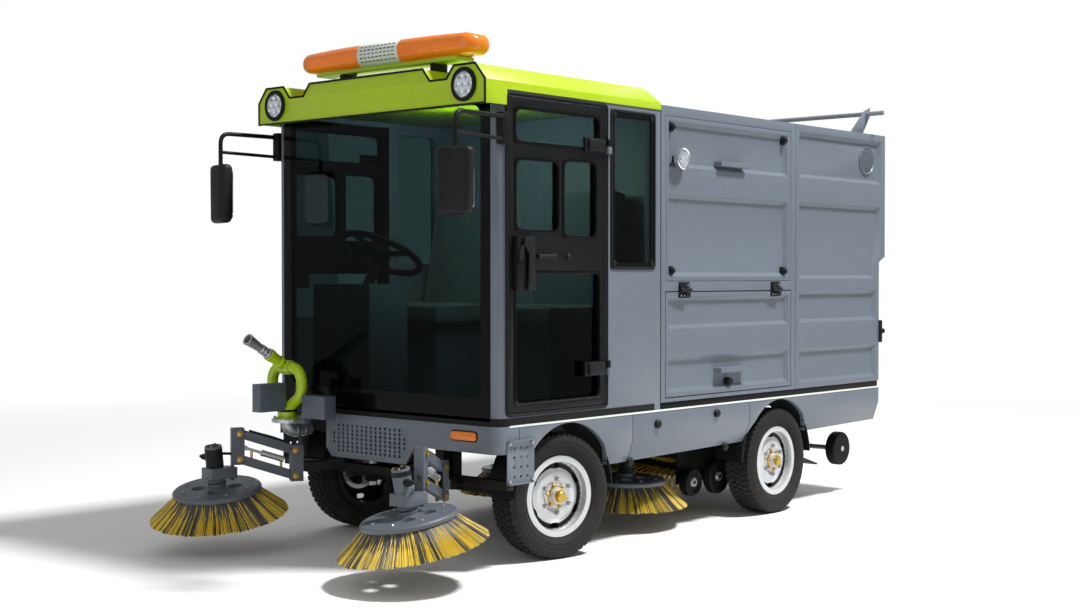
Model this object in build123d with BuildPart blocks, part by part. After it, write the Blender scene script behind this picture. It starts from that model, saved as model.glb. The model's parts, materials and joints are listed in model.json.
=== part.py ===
"""Electric road sweeper with an enclosed cab, disc brushes, a broom and a water cannon."""
import os
from math import cos, radians, sin, sqrt

from build123d import *

os.makedirs("parts", exist_ok=True)

# The front faces -Y, +X is the vehicle's left side and Z = 0 is the ground.
# A station is a distance behind the cab's front face, in millimetres.
SIDES = (("left", 1), ("right", -1))

# Clearances
FIT = 0.3
SEAM = 4.0
PLAY = 5.0

# Wheels and axles
TYRE_R = 280.0
TYRE_W = 165.0
BEAD_R = 165.0
FLANGE_R = 182.0
FLANGE_T = 6.0
FLANGE_SET = 17.0
RIM_WALL = 9.0
HUB_R = 58.0
CAP_R = 36.0
CAP_LEN = 34.0
STUB_R = 22.0
RIM_SLOTS = 6
WHEEL_OUT_X = 731.0
FRONT_AXLE = 453.0
REAR_AXLE = 2200.0
STEER_AT_REST = -11.2
KINGPIN_X = 556.0
KINGPIN_R = 12.0
BOSS_R = 28.0
BOSS_H = 90.0
FORK_T = 18.0
BEAM_W = 60.0
BEAM_H = 60.0
FRONT_SPRING_LEN = 700.0
REAR_SPRING_LEN = 330.0
SPRING_T = 24.0
AXLE_TUBE_R = 42.0
AXLE_TUBE_X = 540.0
DIFF_R = 110.0
DRIVE_MOTOR_R = 95.0
DRIVE_MOTOR_LEN = 230.0

# Chassis
RAIL_X = 330.0
RAIL_W = 50.0
RAIL_Z = 520.0
RAIL_H = 100.0
RAIL_END = 3200.0
DECK_H = 35.0
DECK_HALF_W = 735.0
DECK_BEAM = 60.0
FRONT_BEAM_T = 50.0
FRONT_BEAM_DROP = 93.0
LOW_TUBE_STATION = 65.0
LOW_TUBE = 40.0
LOW_TUBE_Z = 365.0
CROSS_STATIONS = (800.0, 1150.0, 1600.0, 2520.0, 3150.0)
CROSS_INSET = 20.0
TOW_EYE_R = 16.0
TOW_EYE_OUT = 34.0
TOW_EYE_T = 24.0
CHUTE_FRONT = 2660.0
CHUTE_REAR = 2950.0
CHUTE_FRONT_Z = 262.0
CHUTE_REAR_Z = 176.0
CHUTE_T = 10.0
CHUTE_HALF_W = 520.0
# Shares of the chute's length where its hangers stand
CHUTE_HANGERS = (0.05, 0.95)

# Cab
HALF_W = 741.0
CAB_LEN = 1130.0
CORNER_R = 57.0
WALL = 40.0
CAB_TOP = 2058.0
SCREEN_HALF_W = 684.0
SCREEN_SILL = 20.0
SCREEN_TOP = 2046.0
GLASS_T = 8.0
PANE_T = 5.0
DOOR_FRONT = 52.0
DOOR_REAR = 711.0
DOOR_LOW = 677.0
DOOR_TOP = 2031.0
QUARTER_FRONT = 748.0
QUARTER_POST = 44.0
QUARTER_REAR = CAB_LEN - QUARTER_POST
QUARTER_LOW = 1297.0
QUARTER_TOP = 2034.0
QUARTER_RIM = 32.0
HINGE_R = 11.0
HINGE_PIN_R = 5.0
HINGE_OUT = 14.0
HINGE_H = 66.0
HINGE_STRAP = 160.0
DOOR_HINGES_Z = (845.0, 1857.0)
# Door panes: front station, rear station, bottom, top
DOOR_PANES = (
    (93.0, 671.0, 1839.0, 1987.0),
    (96.0, 383.0, 1459.0, 1770.0),
    (414.0, 646.0, 1438.0, 1781.0),
    (93.0, 671.0, 715.0, 1282.0),
)
DOOR_HANDLE = (80.0, 203.0, 1204.0, 1436.0)
HANDLE_OUT = 26.0

# Roof canopy, half outline from the side to the middle
ROOF_HALF_W = 747.0
ROOF_FRONT = -100.0
FASCIA_LOW = 1991.0
FASCIA_T = 32.0
CHEEK_REAR = 40.0
ROOF_SIDE_TOP = 2092.0
ROOF_TOP = 2161.0
NOTCH_FLOOR = 2106.0
# Half width of each corner of the roof's top outline and its height
ROOF_OUTLINE = (
    (690.0, ROOF_TOP),
    (565.0, ROOF_TOP),
    (520.0, NOTCH_FLOOR),
    (420.0, NOTCH_FLOOR),
    (375.0, ROOF_TOP),
)
ROOF_REAR_SLOPE = 60.0
LAMP_X = 625.0
LAMP_Z = 2076.0
LAMP_R = 66.0
LAMP_POCKET = 42.0
LAMP_OUT = 8.0
BAR_LEN = 1150.0
BAR_DEPTH = 200.0
BAR_H = 108.0
BAR_CORNER_R = 90.0
BAR_TOP_R = 48.0
BAR_LOW_R = 32.0
BAR_STATION = 75.0
BAR_FOOT_H = 62.0
BAR_FOOT_X = 300.0
BAR_FOOT = 90.0

# Bumper, skirts and steps
BUMPER_OUT = 12.0
BUMPER_T = 20.0
BUMPER_LOW = 502.0
BUMPER_REAR = 118.0
NOTCH_INNER = -365.0
NOTCH_OUTER = -705.0
APRON_RIGHT = 170.0
APRON_LOW = 418.0
APRON_SLANT = 60.0
APRON_CHAMFER = 40.0
APRON_T = 12.0
GRILLE_COLUMNS = 16
GRILLE_ROWS = 7
GRILLE_X = -72.0
GRILLE_Z = 510.0
GRILLE_PITCH_X = 31.6
GRILLE_PITCH_Z = 19.6
GRILLE_HOLE_R = 7.5
SKIRT_T = 25.0
SKIRT_CREASE = 480.0
SKIRT_CREASE_RISE = 53.0
SKIRT_LOW = 378.0
SKIRT_LOW_RISE = 49.0
SKIRT_TUCK = 35.0
SKIRT_SEAMS = (918.0, 1903.0)
ARCH_R = 330.0
STEP_FRONT = 40.0
STEP_REAR = 213.0
STEP_LOW = 370.0
STEP_TOP = 559.0
STEP_T = 4.0
STEP_LIP = 22.0
STEP_HOLE_R = 6.0
STEP_HOLE_PITCH = 42.0
STEP_BOLT_R = 5.0
STEP_BOLT_INSET = 14.0
MARKER_LEFT_X = 540.0
MARKER_RIGHT_X = -624.0
MARKER_W = 150.0
MARKER_H = 38.0
MARKER_Z = 573.0
MARKER_T = 12.0

# Box behind the cab
BOX_GAP = 8.0
BOX_FRONT = CAB_LEN + BOX_GAP
BOX_REAR = 3330.0
BOX_LOW_REAR = 3262.0
BOX_LOW = 655.0
BOX_TOP = 2085.0
BOX_STEP_LOW = 1346.0
BOX_STEP_TOP = 1378.0
RECESS_DEPTH = 20.0
RECESS_TAPER = 45.0
HATCH_DEPTH = 26.0
HATCH_FRONT = BOX_FRONT + 37.0
UPPER_HATCH = (HATCH_FRONT, 2292.0, 1241.0, 2036.0)
LOWER_HATCH = (HATCH_FRONT, 2298.0, 678.0, 1186.0)
# Pressed fields: front station, rear station, bottom, top
FIELD_FRONT = HATCH_FRONT + 22.0
UPPER_FIELDS = ((FIELD_FRONT, 2267.0, 1794.0, 2014.0), (FIELD_FRONT, 2267.0, 1263.0, 1661.0))
LOWER_FIELDS = ((FIELD_FRONT, 2278.0, 1008.0, 1166.0), (FIELD_FRONT, 2278.0, 698.0, 871.0))
REAR_FIELDS = (
    (2385.0, 3285.0, 1798.0, 2046.0),
    (2385.0, 3275.0, 1250.0, 1667.0),
    (2385.0, 3228.0, 1011.0, 1184.0),
    (2385.0, 3228.0, 682.0, 869.0),
)
# Corner cut out of the second rear field: station, where its slope ends, where it starts
FIELD_CUT = (3213.0, 1340.0, 1400.0)
BOX_SEAM = 2345.0
GROOVE = 6.0
HATCH_HINGES = (HATCH_FRONT + 148.0, 2145.0)
HATCH_HINGE_W = 86.0
HATCH_HINGE_OUT = 12.0
HATCH_HINGE_UP = 10.0
HATCH_HANDLE_W = 250.0
HATCH_HANDLE_STATION = (UPPER_HATCH[0] + UPPER_HATCH[1]) / 2
HATCH_HANDLE_Z = (790.0, 1828.0)
VENT_STATION = 3138.0
VENT_Z = 1933.0
VENT_R = 82.0
WORK_LAMP_STATION = HATCH_FRONT + 92.0
WORK_LAMP_Z = 1834.0
WORK_LAMP_R = 54.0
WORK_LAMP_T = 40.0
WORK_LAMP_FOOT_R = 16.0
TAIL_DOOR_LOW = 1398.0
TAIL_DOOR_TOP = 2031.0
TAIL_DOOR_T = 40.0
TAIL_DOOR_SET = 4.0
TAIL_PIN_R = 8.0
TAIL_PIN_LEN = 22.0
TAIL_LAMP = (600.0, 690.0, 760.0, 980.0)
TAIL_LAMP_T = 24.0
RAIL_TUBE_R = 13.0
RAIL_TUBE_HALF = 810.0
RAIL_TUBE_STATION = 3177.0
RAIL_TUBE_Z = 2205.0
RACK_X = 700.0
RACK_FRONT = 2997.0
RACK_REAR = 3131.0
RACK_T = 8.0
BATTERY = (500.0, BOX_FRONT + 162.0, 2000.0, 400.0)

# Mirrors
MIRROR_X = 776.0
MIRROR_STATION = -307.0
MIRROR_LOW = 1515.0
MIRROR_TOP = 1792.0
MIRROR_W = 165.0
MIRROR_DEPTH = 64.0
MIRROR_TURN = 15.0
MIRROR_ARM_Z = 1940.0
MIRROR_BRACE_Z = 1845.0
MIRROR_ARM_R = 11.0
MIRROR_POST_R = 14.0
MIRROR_FOOT_STATION = 22.0

# Cab fittings
CONSOLE_X = -420.0
CONSOLE_W = 400.0
CONSOLE_FRONT = 130.0
CONSOLE_REAR = 380.0
CONSOLE_TOP = 1225.0
SEAT_X = (-380.0, 360.0)
SEAT_W = 460.0
KNEE_ROOM = 120.0
SEAT_BEHIND = 170.0
SEAT_FRONT = CONSOLE_REAR + KNEE_ROOM
SEAT_REAR = CAB_LEN - SEAT_BEHIND
SEAT_BASE_TOP = 1035.0
CUSHION_T = 85.0
BACK_T = 110.0
BACK_TOP = 1690.0
BACK_LEAN = 10.0
STEER_WHEEL_R = 205.0
STEER_WHEEL_TUBE = 16.0
STEER_WHEEL_STATION = 390.0
STEER_WHEEL_Z = 1375.0
STEER_WHEEL_LEAN = 28.0

# Disc brushes
BRUSH_DISC_R = 200.0
BRUSH_TIP_R = 320.0
BRUSH_DROP = 122.0
BRISTLE_T = 55.0
BRUSH_TUFTS = 40
TUFT_GAP = 7.0
TUFT_ROOT = 15.0
DISC_T = 20.0
DISC_HOLE_R = 33.0
DISC_HOLE_PCD = 84.0
DISC_HOLES = 4
BRUSH_HUB_R = 42.0
BRUSH_HUB_H = 26.0
BRUSH_SHAFT_R = 14.0
BRUSH_MOTOR_R = 39.0
BRUSH_MOTOR_LEN = 170.0
BRUSH_X = 637.0
BRUSH_STATION = -438.0
BRUSH_Z = 275.0
BRUSH_LEAN_IN = 0.069
BRUSH_LEAN_FORE = 0.162
MID_BRUSH_X = 362.0
MID_BRUSH_STATION = 1345.0
MID_BRUSH_Z = 230.0
MID_BRUSH_LEAN_OUT = 0.03

# Brush arms
ARM_X = 489.0
ARM_STATION = -100.0
ARM_LOW_Z = 322.0
ARM_SPREAD = 120.0
ARM_REACH = 263.0
ARM_RISE = 90.0
ARM_SPLAY = 26.7
LINK_T = 24.0
LINK_H = 42.0
LINK_EYE_R = 22.0
LINK_PIN_R = 10.0
CHEEK_T = 8.0
CHEEK_GAP = 1.0
CHEEK_TAIL = 27.0
WEB_T = 10.0
ARM_BEAM = 56.0
POST_DROP = 96.0
SHELF_UP = 39.0
SHELF_W = 92.0
SHELF_H = 50.0

# Broom and its guide wheels
BROOM_STATION = 1850.0
BROOM_Z = 256.0
BROOM_R = 150.0
BROOM_CORE_R = 62.0
BROOM_HALF_W = 420.0
BROOM_SHAFT_R = 14.0
BROOM_ROWS = 6
BROOM_ROW_W = 40.0
HOUSING_X = 436.0
HOUSING_T = 8.0
HOUSING_FRONT = 1676.0
HOUSING_REAR = 2024.0
HOUSING_LOW = 180.0
HOUSING_TOP = 425.0
# Guide wheels: name, station, height, radius
GUIDE_WHEELS = (("front", 1735.0, 191.0, 72.0), ("rear", 1966.0, 200.0, 91.0))
GUIDE_X = 462.0
GUIDE_W = 54.0
GUIDE_PIN_R = 10.0
TAIL_WHEEL_X = 552.0
TAIL_WHEEL_W = 60.0
TAIL_WHEEL_R = 96.0
TAIL_WHEEL_STATION = 3070.0
TAIL_WHEEL_Z = 262.0
TAIL_AXLE_R = 15.0
TAIL_HANGER_W = 90.0

# Water cannon
CANNON_X = -508.0
CANNON_STATION = -130.0
CANNON_FLANGE_R = 72.0
CANNON_FLANGE_T = 17.0
CANNON_FLANGE_Z = 576.0
CANNON_PIPE_R = 26.0
CANNON_FEED_R = 28.0
CANNON_FEED_Z = 534.0
CANNON_FEED_BEND = 40.0
CANNON_DRUM_R = 45.0
CANNON_DRUM_H = 52.0
CANNON_SPIGOT_R = 20.0
CANNON_SPIGOT_H = 30.0
CANNON_TILT_Z = 835.0
CANNON_LOOP_OUT = 106.0
CANNON_LOOP_BEND = 66.0
CANNON_KNUCKLE_R = 34.0
CANNON_KNUCKLE_W = 64.0
CANNON_PIN_R = 9.0
CANNON_PIN_IN = 20.0
CANNON_ELEVATION = 31.0
CANNON_BODY_R = 31.0
CANNON_BODY_LEN = 130.0
CANNON_TUBE_R = 23.0
CANNON_TUBE_LEN = 140.0
CANNON_BORE_R = 18.0
# Gear box on the head: near and far ends ahead of the axis, half width, height
CANNON_BOX = (30.0, 182.0, 29.0, 118.0)
# Turning motor box: right, left, front and rear stations, bottom, top
TURN_BOX = (-365.0, -207.0, -160.0, -91.0, 606.0, 711.0)
TURN_NECK = (92.0, 40.0, 46.0)

# Worked out from the driving sizes
RAIL_TOP = RAIL_Z + RAIL_H
DECK_TOP = RAIL_TOP + DECK_H
WHEEL_X = WHEEL_OUT_X - TYRE_W / 2
TOW_EYE_STATION = BOX_LOW_REAR + TOW_EYE_OUT
FORE_COS = 1 / sqrt(1 + BRUSH_LEAN_IN**2 + BRUSH_LEAN_FORE**2)
LEAN_Y = BRUSH_LEAN_FORE * FORE_COS
FRONT_END = BRUSH_STATION + LEAN_Y * BRUSH_DROP - BRUSH_TIP_R * sqrt(1 - LEAN_Y**2)
MID_STATION = (FRONT_END + BOX_REAR) / 2
MIN_ALIGN = (Align.CENTER, Align.CENTER, Align.MIN)


def y_at(station):
    """Y of a station behind the cab's front face."""
    return station - MID_STATION


def block(x0, x1, y0, y1, z0, z1, mode=Mode.ADD):
    """Box between two corners, in the open part's workplane."""
    with Locations(((x0 + x1) / 2, (y0 + y1) / 2, (z0 + z1) / 2)):
        Box(x1 - x0, y1 - y0, z1 - z0, mode=mode)


def slab(x0, x1, s0, s1, z0, z1, mode=Mode.ADD):
    """Box between two corners, with its length given by stations."""
    block(min(x0, x1), max(x0, x1), y_at(s0), y_at(s1), z0, z1, mode)


def bar(start, end, radius, mode=Mode.ADD):
    """Round bar from one point to another."""
    line = Vector(*end) - Vector(*start)
    with Locations(Plane(origin=Vector(*start), z_dir=line)):
        Cylinder(radius, line.length, align=MIN_ALIGN, mode=mode)


def beam(start, end, width, height, mode=Mode.ADD):
    """Square-ended bar from one point to another, its height in the upright plane."""
    line = Vector(*end) - Vector(*start)
    level = Vector(0, 0, 1).cross(line).normalized()
    middle = (Vector(*start) + Vector(*end)) / 2
    with Locations(Plane(origin=middle, x_dir=line, z_dir=line.cross(level))):
        Box(line.length, width, height, mode=mode)


def section_plane(centre, axis):
    """Plane whose Y runs along an axis and whose X is a radius of it."""
    across = Vector(0, 0, 1) if abs(axis.Z) < 0.9 else Vector(1, 0, 0)
    radial = (across - axis * across.dot(axis)).normalized()
    return Plane(origin=centre, x_dir=radial, z_dir=radial.cross(axis))


def save(builder, name):
    """Label a finished piece and write it."""
    builder.part.label = name
    export_step(builder.part, f"parts/{name}.step")


def wheel_axis(side, steer):
    """Outward direction of a wheel's axle at a steering angle."""
    return Vector(side * cos(radians(steer)), side * sin(radians(steer)), 0)


def steered_centre(side):
    """Centre of a front wheel as it stands."""
    kingpin = Vector(side * KINGPIN_X, y_at(FRONT_AXLE), TYRE_R)
    return kingpin + wheel_axis(side, STEER_AT_REST) * (WHEEL_X - KINGPIN_X)


def make_wheel(name, centre, axis):
    """Tyre, and steel rim with its hub, round one axle."""
    bead = TYRE_W / 2 - FLANGE_SET - FLANGE_T
    spin = Axis(centre, axis)
    plane = section_plane(centre, axis)
    with BuildPart() as tyre:
        with BuildSketch(plane):
            with BuildLine():
                crown = TYRE_W * 0.32
                Polyline(
                    (BEAD_R + FIT, -bead + FIT),
                    (FLANGE_R + FIT, -bead + FIT),
                    (FLANGE_R + 3, -TYRE_W * 0.42),
                )
                ThreePointArc(
                    (FLANGE_R + 3, -TYRE_W * 0.42),
                    (FLANGE_R + 40, -TYRE_W / 2),
                    (TYRE_R - 14, -TYRE_W * 0.43),
                )
                Polyline((TYRE_R - 14, -TYRE_W * 0.43), (TYRE_R, -crown), (TYRE_R, crown))
                Line((TYRE_R, crown), (TYRE_R - 14, TYRE_W * 0.43))
                ThreePointArc(
                    (TYRE_R - 14, TYRE_W * 0.43),
                    (FLANGE_R + 40, TYRE_W / 2),
                    (FLANGE_R + 3, TYRE_W * 0.42),
                )
                Polyline(
                    (FLANGE_R + 3, TYRE_W * 0.42),
                    (FLANGE_R + FIT, bead - FIT),
                    (BEAD_R + FIT, bead - FIT),
                    (BEAD_R + FIT, -bead + FIT),
                )
            make_face()
        revolve(axis=spin)
    save(tyre, f"tyre_{name}")
    with BuildPart() as rim:
        with BuildSketch(plane):
            inner = BEAD_R - RIM_WALL
            with BuildLine():
                Polyline(
                    (inner, -bead - FLANGE_T),
                    (FLANGE_R, -bead - FLANGE_T),
                    (FLANGE_R, -bead),
                    (BEAD_R, -bead),
                    (BEAD_R, bead),
                    (FLANGE_R, bead),
                    (FLANGE_R, bead + FLANGE_T),
                    (inner, bead + FLANGE_T),
                    (inner, bead - 28),
                    (inner - 20, bead - 34),
                    (inner - 50, bead - 20),
                    (HUB_R + 20, bead - 18),
                    (HUB_R, bead - 26),
                    (CAP_R + 6, bead - 20),
                    (CAP_R, bead - 26 + CAP_LEN),
                    (0, bead - 26 + CAP_LEN),
                    (0, bead - 36),
                    (STUB_R + FIT, bead - 36),
                    (STUB_R + FIT, -bead * 0.45),
                    (HUB_R, -bead * 0.45),
                    (HUB_R, bead - 36),
                    (HUB_R + 20, bead - 28),
                    (inner - 50, bead - 30),
                    (inner - 20, bead - 44),
                    (inner, bead - 40),
                    close=True,
                )
            make_face()
        revolve(axis=spin)
        face = Plane(origin=centre - axis * TYRE_W / 2, x_dir=plane.x_dir, z_dir=axis)
        with BuildSketch(face):
            with PolarLocations(inner - 22, RIM_SLOTS):
                SlotOverall(46, 24, rotation=90)
        extrude(amount=TYRE_W, mode=Mode.SUBTRACT)
    save(rim, f"rim_{name}")


for label, side in SIDES:
    make_wheel(f"front_{label}", steered_centre(side), wheel_axis(side, STEER_AT_REST))
    rear_centre = Vector(side * WHEEL_X, y_at(REAR_AXLE), TYRE_R)
    make_wheel(f"rear_{label}", rear_centre, wheel_axis(side, 0))

STUB_END = TYRE_W / 2 - FLANGE_SET - FLANGE_T - 37


def add_springs(axle_station, seat_z, length):
    """Leaf springs and their hangers below both rails, in the open part."""
    for _, hand in SIDES:
        x0 = hand * RAIL_X - RAIL_W / 2
        x1 = hand * RAIL_X + RAIL_W / 2
        front = axle_station - length / 2
        rear = axle_station + length / 2
        slab(x0, x1, front, rear, seat_z, seat_z + SPRING_T)
        for start in (front, rear - BEAM_W):
            slab(x0, x1, start, start + BEAM_W, seat_z + SPRING_T, RAIL_Z)


# Front axle beam with kingpin bosses
with BuildPart() as front_axle:
    y_axle = y_at(FRONT_AXLE)
    block(
        -KINGPIN_X, KINGPIN_X, y_axle - BEAM_W / 2, y_axle + BEAM_W / 2,
        TYRE_R - BEAM_H / 2, TYRE_R + BEAM_H / 2,
    )
    for _, side in SIDES:
        with Locations((side * KINGPIN_X, y_axle, TYRE_R)):
            Box(BOSS_R * 2, BEAM_W, BEAM_H, mode=Mode.SUBTRACT)
            Cylinder(BOSS_R, BOSS_H)
        block(
            min(side * (KINGPIN_X - BOSS_R * 2), side * (KINGPIN_X - BOSS_R * 0.8)),
            max(side * (KINGPIN_X - BOSS_R * 2), side * (KINGPIN_X - BOSS_R * 0.8)),
            y_axle - BOSS_R * 0.55, y_axle + BOSS_R * 0.55, TYRE_R - BEAM_H / 2, TYRE_R + BEAM_H / 2,
        )
        with Locations((side * KINGPIN_X, y_axle, TYRE_R)):
            Cylinder(KINGPIN_R + FIT, BOSS_H, mode=Mode.SUBTRACT)
    add_springs(FRONT_AXLE, TYRE_R + BEAM_H / 2, FRONT_SPRING_LEN)
save(front_axle, "front_axle")

# Steering knuckles: a fork over the boss, the kingpin and the stub axle
for label, side in SIDES:
    outward = wheel_axis(side, STEER_AT_REST)
    kingpin = Vector(side * KINGPIN_X, y_at(FRONT_AXLE), TYRE_R)
    with BuildPart(Plane(origin=kingpin, x_dir=outward, z_dir=(0, 0, 1))) as knuckle:
        web = BOSS_R + PLAY
        fork = BOSS_H / 2 + FIT
        block(web, web + FORK_T, -BOSS_R, BOSS_R, -fork - FORK_T, fork + FORK_T)
        for level in (-1, 1):
            z0 = min(level * fork, level * (fork + FORK_T))
            block(0, web + 1, -BOSS_R, BOSS_R, z0, z0 + FORK_T)
            with Locations((0, 0, z0 + FORK_T / 2)):
                Cylinder(BOSS_R, FORK_T)
        Cylinder(KINGPIN_R, 2 * fork + FORK_T)
        with Locations(Plane(origin=(web, 0, 0), z_dir=(1, 0, 0))):
            Cylinder(STUB_R, WHEEL_X - KINGPIN_X + STUB_END - web, align=MIN_ALIGN)
    save(knuckle, f"knuckle_{label}")

# Rear axle with its final drive, drive motor and springs
with BuildPart() as rear_axle:
    y_axle = y_at(REAR_AXLE)
    bar((-AXLE_TUBE_X, y_axle, TYRE_R), (AXLE_TUBE_X, y_axle, TYRE_R), AXLE_TUBE_R)
    bar(
        (-WHEEL_X - STUB_END, y_axle, TYRE_R),
        (WHEEL_X + STUB_END, y_axle, TYRE_R), STUB_R,
    )
    with Locations((0, y_axle, TYRE_R)):
        Sphere(DIFF_R)
    bar((0, y_axle, TYRE_R), (0, y_axle + DRIVE_MOTOR_LEN + DIFF_R, TYRE_R), DRIVE_MOTOR_R)
    add_springs(REAR_AXLE, TYRE_R + AXLE_TUBE_R - 2, REAR_SPRING_LEN)
save(rear_axle, "rear_axle")


def link_heading(side):
    """Plan direction of a brush arm's links, forward and outward."""
    return Vector(side * sin(radians(ARM_SPLAY)), -cos(radians(ARM_SPLAY)), 0)


def arm_pivot(side, level):
    """Pin on the chassis bracket; level 0 is the lower link, 1 the upper."""
    return Vector(side * ARM_X, y_at(ARM_STATION), ARM_LOW_Z + level * ARM_SPREAD)


def post_pivot(side, level):
    """Pin on the brush post at the far end of a link."""
    return arm_pivot(side, level) + link_heading(side) * ARM_REACH + Vector(0, 0, ARM_RISE)


CHEEK_AT = LINK_T / 2 + CHEEK_GAP + CHEEK_T / 2


def add_cheeks(pivot, heading, facing):
    """Two cheeks with pins round both links' eyes, closed by a web on the facing side."""
    with Locations(Plane(origin=pivot, x_dir=heading, z_dir=(0, 0, 1))):
        height = ARM_SPREAD + 2 * LINK_EYE_R + CHEEK_T
        reach = CHEEK_TAIL + LINK_EYE_R
        for across in (-CHEEK_AT, CHEEK_AT):
            with Locations((facing * (CHEEK_TAIL - LINK_EYE_R) / 2, across, ARM_SPREAD / 2)):
                Box(reach, CHEEK_T, height)
        with Locations((facing * (CHEEK_TAIL + WEB_T / 2), 0, ARM_SPREAD / 2)):
            Box(WEB_T, 2 * CHEEK_AT + CHEEK_T, height)
        for level in (0, ARM_SPREAD):
            with Locations(Location((0, 0, level), (90, 0, 0))):
                Cylinder(LINK_PIN_R, 2 * CHEEK_AT + CHEEK_T)


# Long members of the ladder chassis: two rails and the side beams of the deck
FRONT_BEAM_REAR = BUMPER_T - BUMPER_OUT + FRONT_BEAM_T
DECK_IN = DECK_HALF_W - DECK_BEAM
with BuildPart() as chassis_frame:
    for _, side in SIDES:
        rail_in = side * (RAIL_X - RAIL_W / 2)
        rail_out = side * (RAIL_X + RAIL_W / 2)
        slab(rail_in, rail_out, FRONT_BEAM_REAR, RAIL_END, RAIL_Z, RAIL_TOP)
        slab(side * DECK_IN, side * DECK_HALF_W, CAB_LEN + SEAM, BOX_LOW_REAR - SEAM, RAIL_TOP, DECK_TOP)
save(chassis_frame, "chassis_frame")

# Chute plate behind the broom
CHUTE_LINE = (0, y_at(CHUTE_FRONT), CHUTE_FRONT_Z), (0, y_at(CHUTE_REAR), CHUTE_REAR_Z)
with BuildPart() as chute:
    beam(*CHUTE_LINE, 2 * CHUTE_HALF_W, CHUTE_T)
save(chute, "suction_chute")

# Front beam, cross members, deck cross beams, and the hangers of the chute and the tail wheels
with BuildPart() as frame_members:
    front_beam_x = HALF_W - BUMPER_T
    slab(
        -front_beam_x, front_beam_x, BUMPER_T - BUMPER_OUT, FRONT_BEAM_REAR,
        RAIL_TOP - FRONT_BEAM_DROP, RAIL_TOP,
    )
    cross_x = RAIL_X - RAIL_W / 2
    for station in CROSS_STATIONS:
        slab(
            -cross_x, cross_x, station - RAIL_W / 2, station + RAIL_W / 2,
            RAIL_Z + CROSS_INSET, RAIL_TOP - CROSS_INSET,
        )
    for station in (CAB_LEN + SEAM, REAR_AXLE, BOX_LOW_REAR - SEAM - DECK_BEAM):
        slab(-DECK_IN, DECK_IN, station, station + DECK_BEAM, RAIL_TOP, DECK_TOP)
    for _, side in SIDES:
        hanger = side * RAIL_X
        slab(
            hanger - CHEEK_T, hanger + CHEEK_T,
            TAIL_WHEEL_STATION - TAIL_HANGER_W / 2, TAIL_WHEEL_STATION + TAIL_HANGER_W / 2,
            TAIL_WHEEL_Z - TAIL_AXLE_R * 2, RAIL_Z,
        )
        bar(
            (hanger - CHEEK_T * 2, y_at(TAIL_WHEEL_STATION), TAIL_WHEEL_Z),
            (hanger + CHEEK_T * 2, y_at(TAIL_WHEEL_STATION), TAIL_WHEEL_Z),
            TAIL_AXLE_R + FIT, mode=Mode.SUBTRACT,
        )
        for share in CHUTE_HANGERS:
            foot = Vector(*CHUTE_LINE[0]) * (1 - share) + Vector(*CHUTE_LINE[1]) * share
            bar((hanger, foot.Y, foot.Z), (hanger, foot.Y, RAIL_Z), CHUTE_T)
    add(chute.part, mode=Mode.SUBTRACT)
save(frame_members, "frame_members")

# Low tube under the rails, with the brackets of the brush arms
with BuildPart() as brush_frame:
    slab(
        -HALF_W, HALF_W, LOW_TUBE_STATION - LOW_TUBE / 2, LOW_TUBE_STATION + LOW_TUBE / 2,
        LOW_TUBE_Z - LOW_TUBE / 2, LOW_TUBE_Z + LOW_TUBE / 2,
    )
    for _, side in SIDES:
        slab(
            side * (RAIL_X - RAIL_W / 2), side * (RAIL_X + RAIL_W / 2),
            LOW_TUBE_STATION - LOW_TUBE / 2, LOW_TUBE_STATION + LOW_TUBE / 2, LOW_TUBE_Z, RAIL_Z,
        )
        heading = link_heading(side)
        pivot = arm_pivot(side, 0)
        add_cheeks(pivot, heading, -1)
        root = Vector(pivot.X, pivot.Y, LOW_TUBE_Z) - heading * (CHEEK_TAIL + WEB_T - 1)
        run = (y_at(LOW_TUBE_STATION) - root.Y) / -heading.Y
        beam(root, root - heading * run, ARM_BEAM, LOW_TUBE)
save(brush_frame, "brush_frame")

# Tow eye on the last cross member
with BuildPart() as tow_bracket:
    slab(
        -TOW_EYE_T / 2, TOW_EYE_T / 2, CROSS_STATIONS[-1] + RAIL_W / 2, TOW_EYE_STATION,
        RAIL_Z + CROSS_INSET, RAIL_TOP - CROSS_INSET,
    )
    with Locations(Location((0, y_at(TOW_EYE_STATION), RAIL_Z + RAIL_H / 2), (0, 90, 0))):
        Cylinder(RAIL_H / 2 - CROSS_INSET, TOW_EYE_T)
        Cylinder(TOW_EYE_R, TOW_EYE_T, mode=Mode.SUBTRACT)
save(tow_bracket, "tow_bracket")

# Parallel links of the front brush arms
for label, side in SIDES:
    for level, place in ((0, "lower"), (1, "upper")):
        near = arm_pivot(side, level)
        far = post_pivot(side, level)
        across = link_heading(side).cross(Vector(0, 0, 1))
        with BuildPart() as link:
            beam(near, far, LINK_T, LINK_H)
            for eye in (near, far):
                bar(eye - across * LINK_T / 2, eye + across * LINK_T / 2, LINK_EYE_R)
            for eye in (near, far):
                bar(eye - across * LINK_T, eye + across * LINK_T, LINK_PIN_R + FIT, mode=Mode.SUBTRACT)
        save(link, f"{place}_link_{label}")


def front_brush_axis(side):
    """Upward axis of a front brush, leaning forward and inward."""
    return Vector(-side * BRUSH_LEAN_IN, -BRUSH_LEAN_FORE, 1).normalized()


def front_brush_centre(side):
    """Middle of a front brush's disc."""
    return Vector(side * BRUSH_X, y_at(BRUSH_STATION), BRUSH_Z)


def mid_brush_axis(side):
    """Upward axis of a middle brush, leaning outward."""
    return Vector(side * MID_BRUSH_LEAN_OUT, 0, 1).normalized()


def mid_brush_centre(side):
    """Middle of a middle brush's disc."""
    return Vector(side * MID_BRUSH_X, y_at(MID_BRUSH_STATION), MID_BRUSH_Z)


MOTOR_FOOT = DISC_T / 2 + BRUSH_HUB_H + PLAY


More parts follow.
